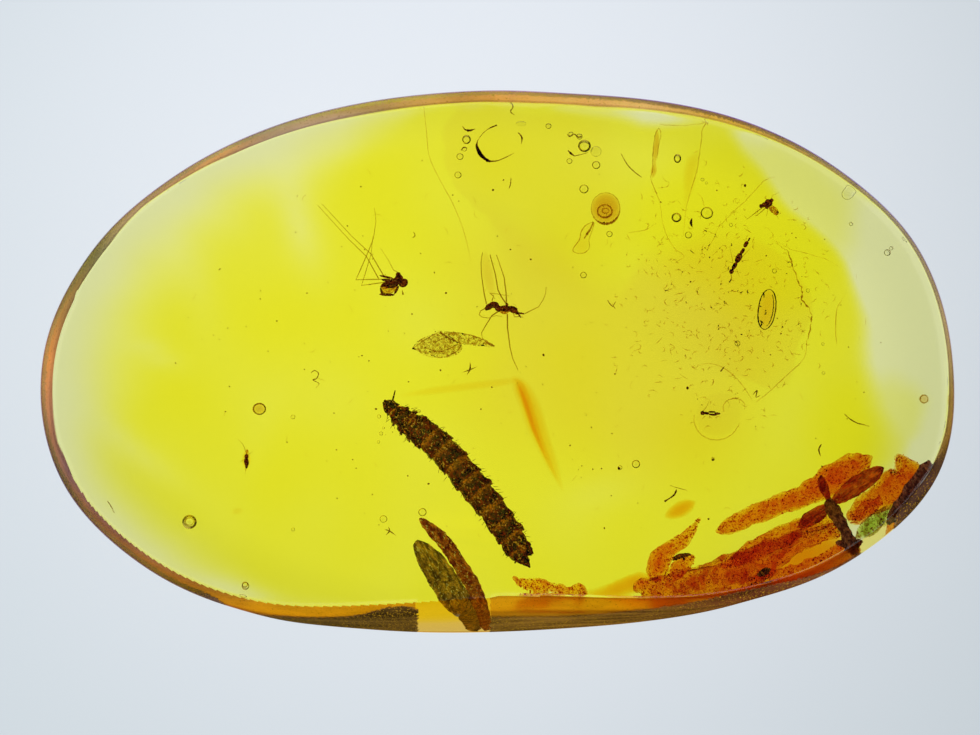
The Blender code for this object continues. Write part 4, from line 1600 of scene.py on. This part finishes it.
BUBBLES = tuple(Bubble(*row) for row in (
    (466.5, 139.5, 4.2, 4, 0.8, 1.1), (464.5, 149, 2.4, 4), (460, 156.5, 3.4, 4), (458, 175, 3.4, 4),
    (548.5, 126, 2.8), (584.5, 146, 6.2, 3.8, 0.8), (596, 151.5, 5.2, 4.3, 0.25), (596.2, 165, 4, 3.8),
    (569.5, 161, 2.8, 4), (579.5, 136.5, 3, 3.9), (571, 134, 2.4, 3.9), (584, 189, 4.4, 3.9),
    (609.5, 234, 3, 4), (583.5, 275, 3.2), (677.5, 158.5, 3.6, 4, 1, 1.25), (676.5, 217.5, 4.8, 4, 0.9),
    (707, 213, 6, 3.7), (688.5, 235, 3.4, 3.8), (702.5, 179.5, 1.8, 4), (706.5, 183, 1.3, 4),
    (731, 225, 1.9, 4), (774.5, 271, 2.4, 3.6), (848, 193.5, 5.6, 4.4, 0.3), (851, 224, 2, 3.6),
    (887.5, 252.5, 3.2, 3.4), (891, 248.5, 1.9, 3.4), (808, 290.5, 2, 4), (737.5, 343.5, 2.8, 3.9),
    (823, 344, 1.5, 4.2), (823.5, 373, 1.6, 4.2), (636, 464, 4, 3.6), (620, 467.5, 2.2, 3.6),
    (422.5, 513, 4, 4, 0.6), (383.5, 519, 3.6, 4, 0.5), (379, 416.5, 1.9, 4), (383.5, 428, 1.3, 4),
    (381, 433.5, 1.9, 4), (378.5, 442, 1.5, 4), (293, 417, 2.2, 3.6), (293, 529.5, 1.8, 3.6),
    (189.5, 522, 7, 3.9, 0.8), (245.5, 586, 3.6, 3), (259.5, 409, 6, 3.9, 0.5), (713, 459, 1.9, 3.8),
    (521, 123.5, 4.8, 4.2, 0.15, 0.5)))


class ThreadKind(Enum):
    """How strongly a thread takes the light."""

    BLACK = TintedResin("black_fibre_and_rim_shade", Absorption(45.0, 62.0, 90.0))
    BROWN = TintedResin("brown_fibre_and_rim_shade", Absorption(15.0, 25.0, 50.0))
    FAINT = TintedResin("faint_fibre", Absorption(11.0, 19.0, 34.0))


@dataclass(frozen=True)
class Strand:
    """A crack line, fibre or outline: its points in pixels, its height, its widths."""

    points: tuple[tuple[float, float], ...]
    height_mm: float = 4.0
    widths_px: tuple[float, ...] = (0.9,)
    jitter_px: float = 0.0
    fray: float = 0.25
    steps: int = 5

    def run(self, stone: Stone, draw: random.Random) -> list[tuple[Vector, float]]:
        """Return the strand's points and radii along a smooth curve."""
        widths = self.widths_px if len(self.widths_px) > 1 else self.widths_px * 2
        count = (len(self.points) - 1) * self.steps + 1
        places = curve_rows(self.points, count)
        thick = curve_rows([(width,) for width in widths], count)
        run = []
        for place, width in zip(places, thick):
            across = place[0] + draw.uniform(-1.0, 1.0) * self.jitter_px
            down = place[1] + draw.uniform(-1.0, 1.0) * self.jitter_px
            run.append((stone.inside(across, down, self.height_mm),
                        0.5 * PX * max(width[0] * draw.uniform(1.0 - self.fray, 1.0 + self.fray),
                                       0.2)))
        return run


def loop(across_px: float, down_px: float, half_wide_px: float, half_high_px: float,
         turn_deg: float = 0.0, start_deg: float = 0.0, sweep_deg: float = 360.0
         ) -> tuple[tuple[float, float], ...]:
    """Return points on an oval or on an arc of it, in pixels of the frame."""
    turn = math.radians(turn_deg)
    points = []
    for step in range(17):
        angle = math.radians(start_deg + sweep_deg * step / 16)
        wide = half_wide_px * math.cos(angle)
        high = half_high_px * math.sin(angle)
        points.append((across_px + wide * math.cos(turn) - high * math.sin(turn),
                       down_px + wide * math.sin(turn) + high * math.cos(turn)))
    return tuple(points)


DARK_STRANDS = (
    # Rim of the big flat bubble, a dark thread that paints the shade along its edge: thick where the film
    # is folded, broken elsewhere.
    Strand(((477.7, 140.4), (476.9, 146.5), (480.8, 154.8), (487.5, 160.4), (492, 161.4)), 4.4,
        (0.8, 2.6, 4.2, 3.4, 1.2), 0.15),
    Strand(((490, 161.2), (497, 160.8), (505, 157.7), (514.2, 152.9)), 4.4, (1.4, 1.5, 1.1, 0.5)),
    Strand(((521.2, 144), (522, 138.5), (520.5, 135), (518, 132.6)), 4.4, (0.6, 1.8, 1.6, 1)),
    Strand(((477.7, 140.4), (483.5, 132.7), (490.2, 127.9), (496.9, 125.2)), 4.4, (0.8, 0.9, 1.2, 1.8)),
    Strand(((462.5, 126), (465, 129.5), (469.5, 130.5), (475, 129)), 4.3, (0.9, 1.4, 2.6, 0.8)),
    Strand(((461, 150.5), (463.5, 147.5), (467.5, 148)), 4.1, (1, 1.4, 0.7)),
    Strand(((514, 107), (510.5, 111.5), (514.5, 115)), 4.2, (0.8, 1.2, 0.6)),
    Strand(((567.5, 134), (569.5, 136.5), (574, 134), (578, 137), (582, 136.5)), 4.1,
        (1.1, 1.3, 1.1, 1.4, 1.3)),
    Strand(((568, 150.5), (571, 153.5), (574.5, 156)), 4.1, (1.2, 2.4, 0.9)),
    Strand(((574.5, 156), (581, 154.5), (588, 152.5)), 4.1, (0.9, 0.8, 0.6)),
    Strand(((511, 178), (510.5, 184), (509, 188.5)), 4.1, (0.9, 1.1, 0.7)),
    Strand(((621, 153.5), (627, 164), (634, 171.5), (642, 177.5)), 4.1, (0.8, 1, 1.1, 0.8)),
    # Hooks, hairs and splinters.
    Strand(((664.5, 501.5), (670, 498), (674.5, 494.5), (676.5, 489.5)), 4, (2.2, 1.6, 2.4, 1.4)),
    Strand(((670, 485.5), (678, 488), (687.5, 490.5)), 4, (0.7, 0.8, 0.5)),
    Strand(((821.5, 444), (818.8, 449.5), (820.5, 456)), 4, (1, 1.8, 0.9)),
    Strand(((844.5, 414), (850, 419), (857, 423), (863, 424.5), (870, 426.5)), 4,
        (0.8, 1.3, 1.2, 1.1, 0.6)),
    Strand(((692, 218), (691, 223), (692.5, 227.5)), 4, (0.8, 3, 0.9)),
    Strand(((607.5, 300), (610.5, 304.5), (615, 308)), 4, (0.8, 1.2, 0.9)),
    Strand(((616, 301.5), (613.5, 305.5), (615.5, 309)), 4, (0.6, 0.9, 0.6)),
    Strand(((311, 373), (314.5, 370.5), (318.5, 373.5), (316.5, 378.5), (313, 380), (319, 383.5),
        (316, 387.5)), 4, (0.8, 1.1, 1.2, 1.1, 1.2, 0.8, 0.6)),
    Strand(((388.5, 527), (389.5, 531), (386, 535)), 4.2, (0.6, 1.6, 0.5)),
    Strand(((384.5, 529.5), (389.5, 531), (396, 535.5)), 4.2, (0.5, 1.3, 0.5)),
    Strand(((470, 362.5), (470, 369), (467, 375)), 4.2, (0.6, 1.7, 0.6)),
    Strand(((462.5, 372.5), (469.5, 370), (477.5, 366.5)), 4.2, (0.4, 1.3, 0.4)),
    Strand(((413.5, 232), (415, 235.5), (412.5, 238)), 4.2, (0.7, 1.2, 0.6)),
    Strand(((107.5, 501), (111, 506.5), (114.5, 513)), 3.8, (0.7, 1.1, 0.6)),
    Strand(((720.5, 371.5), (722.5, 369), (724.5, 366.5)), 4.2, (1.2, 1.6, 0.7)),
    Strand(((753, 394.5), (757, 390.5), (756, 397), (760, 395.5)), 4.2, (0.8, 1.4, 1, 0.7)),
)
BROWN_STRANDS = (
    # Outline, bull's eye and tail of the brown disc.
    Strand(loop(605.6, 208.3, 14.4, 15.6), 4.1, (1.1, 2.4, 2.8, 1.6, 0.9, 0.8, 0.9, 1, 1.1)),
    Strand(loop(604.8, 211.2, 7.2, 6.4), 4.3, (1.8, 2.4, 2.4, 2, 1.8, 1.6, 1.6, 1.8), 0.2),
    Strand(loop(605.5, 210.8, 3.4, 2.6), 4.4, (1, 1.4, 0.9), 0.3),
    Strand(((592.5, 222), (585, 226), (581, 232.5), (579.3, 240), (574.5, 246.5), (573, 250.5),
        (577, 253.2), (584.5, 252.6), (589.5, 247.5), (589, 240), (592, 231), (594, 223.5)), 4.1,
        (1, 1.2, 1.3, 1.2, 1.2, 1, 1, 0.9, 1, 1.2)),
    Strand(((593.5, 222), (590, 229.5), (587, 234), (583.8, 239)), 4.2, (2, 2.2, 2.4, 0.8)),
    # Outline of the capsule.
    Strand(loop(767, 309.4, 8.8, 20.3, 8), 3.9, (1.5, 0.9, 1.1, 1.3, 1.6, 1, 0.9, 1.2, 1.5), 0.1),
    Strand(loop(767, 309.4, 6.2, 17.5, 8, -60, 130), 3.9, (0.5, 0.9, 0.6), 0.3),
    # Rims of single drops; round the hollow bubbles they are dark rings that paint the shade at the
    # bubbles' edges.
    Strand(loop(924, 399, 3.9, 3.9), 4.2, (1.3, 1.8, 1.2), 0.1),
    Strand(loop(259.5, 409, 6.3, 5.3), 4, (1, 1.4, 1.9, 1.2), 0.1),
    Strand(loop(245, 584.5, 2.5, 2.5), 4, (1.2,), 0.1),
    Strand(loop(189.4, 521.4, 4.6, 4), 4, (0.9, 1.4, 0.8), 0.2),
    # Granular right edge of the crazed lump.
    Strand(((763, 227), (770, 229.5), (775, 240), (782, 248), (788, 251), (790.5, 260), (796.5, 276.5),
        (801.8, 290), (802, 299.8), (810.3, 310.4), (811.4, 323), (807, 340)), 4.2,
        (0.5, 0.5, 0.7, 0.8, 1.6, 1.2, 1.8, 1.6, 1.4, 1), 0.8, 0.6),
    # Ribs of the bud scales.
    Strand(((413, 348.5), (424, 340.5), (438.5, 332)), 4.5, (1, 1.4, 0.9)),
    Strand(((440, 332.2), (450, 338.5), (461, 343.5)), 4.6, (1.8, 1.4, 1.6)),
    Strand(((419, 353), (432, 357), (446, 356.5), (457, 351), (461.5, 344.5)), 4.3,
        (0.6, 0.8, 0.9, 1, 1.3)),
    Strand(((424, 347.5), (438, 351.5), (450, 348.5), (459.5, 342)), 4.6, (1, 1.3, 1.4, 1.1), 0.5),
    Strand(((428, 343), (436, 341.5), (443, 338.5)), 4.6, (0.9, 1.2, 0.8), 0.4),
    Strand(((446, 332.8), (462, 333.3), (476, 336.8), (488, 342.5)), 4.6, (1, 1.1, 1.2, 1)),
    Strand(((485, 341.5), (490, 344.5), (494.5, 346)), 4.6, (1.4, 1.6, 2)),
)
FAINT_STRANDS = (
    # Edges and cracks of the crazed lump.
    Strand(((807, 340), (804, 358), (788, 374), (772, 389), (756.4, 402)), 4.2, (0.8, 0.8, 1.2, 1, 0.8),
        0.3),
    Strand(((697, 366), (708, 363.5), (721, 366.5), (733, 375), (743, 386), (752, 400)), 4.2,
        (0.5, 0.8, 1, 1.1, 1, 0.8)),
    Strand(((775, 177), (764, 181), (751, 195), (737, 208.5), (728, 217.5), (718, 228), (712, 242),
        (700, 251)), 4, (0.6, 0.9, 1, 0.9, 0.7, 0.7, 0.6), 0.4),
    Strand(loop(716.5, 419, 22.5, 21, 0, 20, 170), 4.7, (1, 1.1, 0.9), 0.3),
    Strand(loop(734, 407, 11, 8.5, -10, 160, 230), 4.7, (1, 1.3, 0.8), 0.3),
    # Fissures that run down from the top edge.
    Strand(((659, 128), (655.5, 134), (653.7, 146), (652.8, 158), (652.5, 170), (650.8, 178), (655, 190),
        (660.4, 203)), 4, (0.9, 1.2, 1.3, 1.2, 1.4, 1, 1.1, 0.7), 0.2),
    Strand(((659, 128), (661, 134), (658.5, 146), (657, 158)), 4, (1, 1.1, 1.2, 0.7), 0.2),
    Strand(((708.5, 122), (702.5, 129), (701.5, 140), (698.8, 157.7), (696.9, 171), (691, 190.4),
        (686.3, 208), (683.5, 236)), 4, (1.2, 1, 1.1, 1.1, 1.1, 1, 0.8, 0.6), 0.2),
    Strand(((660, 124), (672, 125.5), (690, 125), (708, 123)), 4.2, (0.6, 0.8, 0.7, 0.9), 0.4),
    Strand(((697, 192.5), (702, 198), (704, 206)), 4, (0.6, 0.8, 0.7)),
    # Flow line at the top left of the duller resin.
    Strand(((424, 108), (426.5, 132), (429.5, 157), (440, 180), (453, 204), (464, 232), (471, 262)), 3.6,
        (0.8, 0.8, 0.9, 0.9, 1, 0.8, 0.4)),
    # Arcs and edges of films at the right.
    Strand(((842, 300), (836.7, 310), (835.7, 331.5), (836.7, 344)), 4, (0.7, 1.1, 0.8)),
    Strand(((627.7, 232.7), (645, 230), (656.5, 223)), 4, (0.5, 0.8, 0.5)),
    Strand(((660, 203), (664, 228), (674, 248), (684, 256), (676, 262)), 4, (0.6, 0.9, 0.6), 0.3),
    Strand(((770, 238), (784, 246), (800, 252), (822, 258), (838, 266)), 4, (0.5, 0.9, 0.8, 0.5), 0.6,
        0.5),
    Strand(((799.4, 532.9), (815, 531), (831.2, 526)), 3.9, (1, 1.8, 1.2), 0.2),
    Strand(((688, 571.5), (702, 568), (717.4, 566)), 3.9, (1.4, 2.2, 1), 0.3),
)


@dataclass(frozen=True)
class Crumbs:
    """Tiny crumbs: specks spread through the stone, and grains inside the clots."""

    seed: int = 11
    specks: int = 240
    fibres: int = 70
    curls: int = 420
    grains_per_px: float = 3.2
    # Middle, spread and reach of the crazed lump's cracks, each across and down.
    crazed_px: tuple[tuple[float, float], ...] = ((718.0, 300.0), (60.0, 72.0), (116.0, 140.0))
    # Middle and reach of the part of the stone that the specks are spread through.
    middle_px: tuple[float, float] = (527.5, 345.5)
    reach_px: tuple[float, float] = (385.0, 215.0)
    # Larger specks: pixels across and down, and half width.
    named_px: tuple[tuple[float, float, float], ...] = (
        (745, 185.5, 1.5), (493, 190, 1.3), (687.5, 388, 1.6), (446, 293, 1.2), (543.5, 355, 1.3),
        (481, 409.5, 1), (428.5, 484.5, 1.1), (604, 222.5, 1.2), (376, 409, 1.1), (684, 559, 1.5),
        (822, 466.5, 1.3), (741.5, 334.5, 1.2), (619, 468.5, 1.8), (708.5, 519, 1.2), (713, 459.5, 1.3))

    def speck(self, shape: bmesh.types.BMesh, place: Vector, radius: float,
              draw: random.Random) -> None:
        """Add one uneven crumb to a mesh."""
        turn = Matrix.Rotation(draw.uniform(0.0, math.pi), 4, "Z")
        size = Matrix.Diagonal((radius * draw.uniform(0.7, 1.5), radius, radius * 0.8, 1.0))
        bmesh.ops.create_icosphere(shape, subdivisions=1, radius=1.0,
                                   matrix=Matrix.Translation(place) @ turn @ size)

    def curl(self, draw: random.Random, start_px: tuple[float, float], bend: float,
             reach_px: tuple[float, float]) -> tuple[tuple[float, float], ...]:
        """Return the points of a short line that starts in the frame and keeps bending.

        Args:
            draw: The random numbers.
            start_px: Where the line starts.
            bend: Largest turn between two of its steps, in radians.
            reach_px: Least and largest length of a step.

        Returns:
            The line's points, in pixels.
        """
        across, down = start_px
        heading = draw.uniform(0.0, math.tau)
        turn = draw.uniform(-bend, bend)
        reach = draw.uniform(*reach_px)
        points = []
        for _ in range(5):
            points.append((across, down))
            across += math.cos(heading) * reach
            down += math.sin(heading) * reach
            heading += turn
        return tuple(points)

    def crazing(self, stone: Stone, draw: random.Random) -> None:
        """Fill the crazed lump with short curled cracks."""
        runs = []
        middle, spread, reach = self.crazed_px
        while len(runs) < self.curls:
            across = draw.gauss(middle[0], spread[0])
            down = draw.gauss(middle[1], spread[1])
            if math.hypot((across - middle[0]) / reach[0], (down - middle[1]) / reach[1]) > 1.0:
                continue
            points = self.curl(draw, (across, down), 1.1, (0.6, 2.6))
            runs.append(Strand(points, draw.uniform(3.8, 4.4), (0.5, 1.25, 0.5), 0.3, 0.5, 2
                               ).run(stone, draw))
        sealed(threads("crazing", runs, 4), ThreadKind.FAINT.value.material())

    def finish(self, name: str, shape: bmesh.types.BMesh, skin: NaturalSkin | TintedResin,
               slot: str) -> None:
        """Turn the crumbs into one dressed piece."""
        data = bpy.data.meshes.new(name)
        shape.to_mesh(data)
        shape.free()
        data.shade_smooth()
        sealed(placed(name, data), skin.material())

    def build(self, stone: Stone) -> None:
        """Build the specks, the fibres and the clots' grains."""
        draw = random.Random(self.seed)
        shape = bmesh.new()
        for across, down, radius in self.named_px:
            self.speck(shape, stone.inside(across, down, 4.0), radius * PX, draw)
        runs = []
        for index in range(self.specks + self.fibres):
            angle = draw.uniform(0.0, math.tau)
            out = math.sqrt(draw.random()) * 0.92
            across = self.middle_px[0] + math.cos(angle) * out * self.reach_px[0]
            down = self.middle_px[1] + math.sin(angle) * out * self.reach_px[1]
            height = draw.uniform(2.2, 4.8)
            if index < self.specks:
                self.speck(shape, stone.inside(across, down, height),
                           draw.uniform(0.5, 1.0) ** 2 * PX, draw)
                continue
            points = self.curl(draw, (across, down), 0.5, (1.0, 2.6))
            runs.append(Strand(points, height, (0.4, 0.75, 0.4), 0.0, 0.2, 2).run(stone, draw))
        self.finish("specks", shape, ThreadKind.BLACK.value, "wood_debris")
        sealed(threads("fine_fibres", runs, 4), ThreadKind.BROWN.value.material())
        self.crazing(stone, draw)
        self.clot_grains(stone, draw)

    def clot_grains(self, stone: Stone, draw: random.Random) -> None:
        """Strew dark grains through the clots."""
        grains = bmesh.new()
        for clot in CLOTS:
            if clot.finish not in (CLOT, DENSE_CLOT):
                continue
            rings = stone.rings(clot.rows, 40, clot.depth, clot.edge)
            length = sum((one.middle - two.middle).length for one, two in zip(rings, rings[1:]))
            for _ in range(round(length / PX * self.grains_per_px)):
                start = draw.randrange(2, 37)
                ring, after = rings[start], rings[start + 1]
                place = (ring.middle.lerp(after.middle, draw.random())
                         + ring.across * draw.uniform(-0.95, 0.95)
                         + ring.up * draw.uniform(-0.4, 0.6))
                self.speck(grains, place, draw.uniform(0.5, 1.05) ** 2 * PX, draw)
        self.finish("clot_grains", grains, DARK_GRAIN, "wood_debris")


def build_strands(stone: Stone, seed: int = 23) -> None:
    """Build the threads and crack lines, each kind as one piece."""
    draw = random.Random(seed)
    for name, strands, kind in (("dark_threads", DARK_STRANDS, ThreadKind.BLACK),
                                ("brown_outlines", BROWN_STRANDS, ThreadKind.BROWN),
                                ("crack_lines", FAINT_STRANDS, ThreadKind.FAINT)):
        runs = [strand.run(stone, draw) for strand in strands]
        sealed(threads(name, runs), kind.value.material())


def main() -> None:
    """Build the stone and everything sealed in it."""
    logging.basicConfig(level=logging.INFO, format="%(name)s: %(message)s")
    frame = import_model()
    bpy.context.scene.view_settings.view_transform = "Standard"
    view = Viewpoint()
    view.build()
    LightTable().build()
    stone = Stone(frame, view)
    stone.build()
    stone.build_rind()
    for flow in FLOWS:
        flow.build(view)
    Larva().build(stone)
    for blade in (FRONT_BRACT, BACK_BRACT, WIDE_BUD_SCALE, SLIM_BUD_SCALE, *TWIG_PARTS):
        blade.build(stone)
    for clot in CLOTS:
        clot.build(stone)
    for insect in INSECTS:
        insect.build(stone)
    build_strands(stone)
    Crumbs().build(stone)
    stone.hollow([bubble.build(stone) for bubble in BUBBLES])


if __name__ == "__main__":
    main()
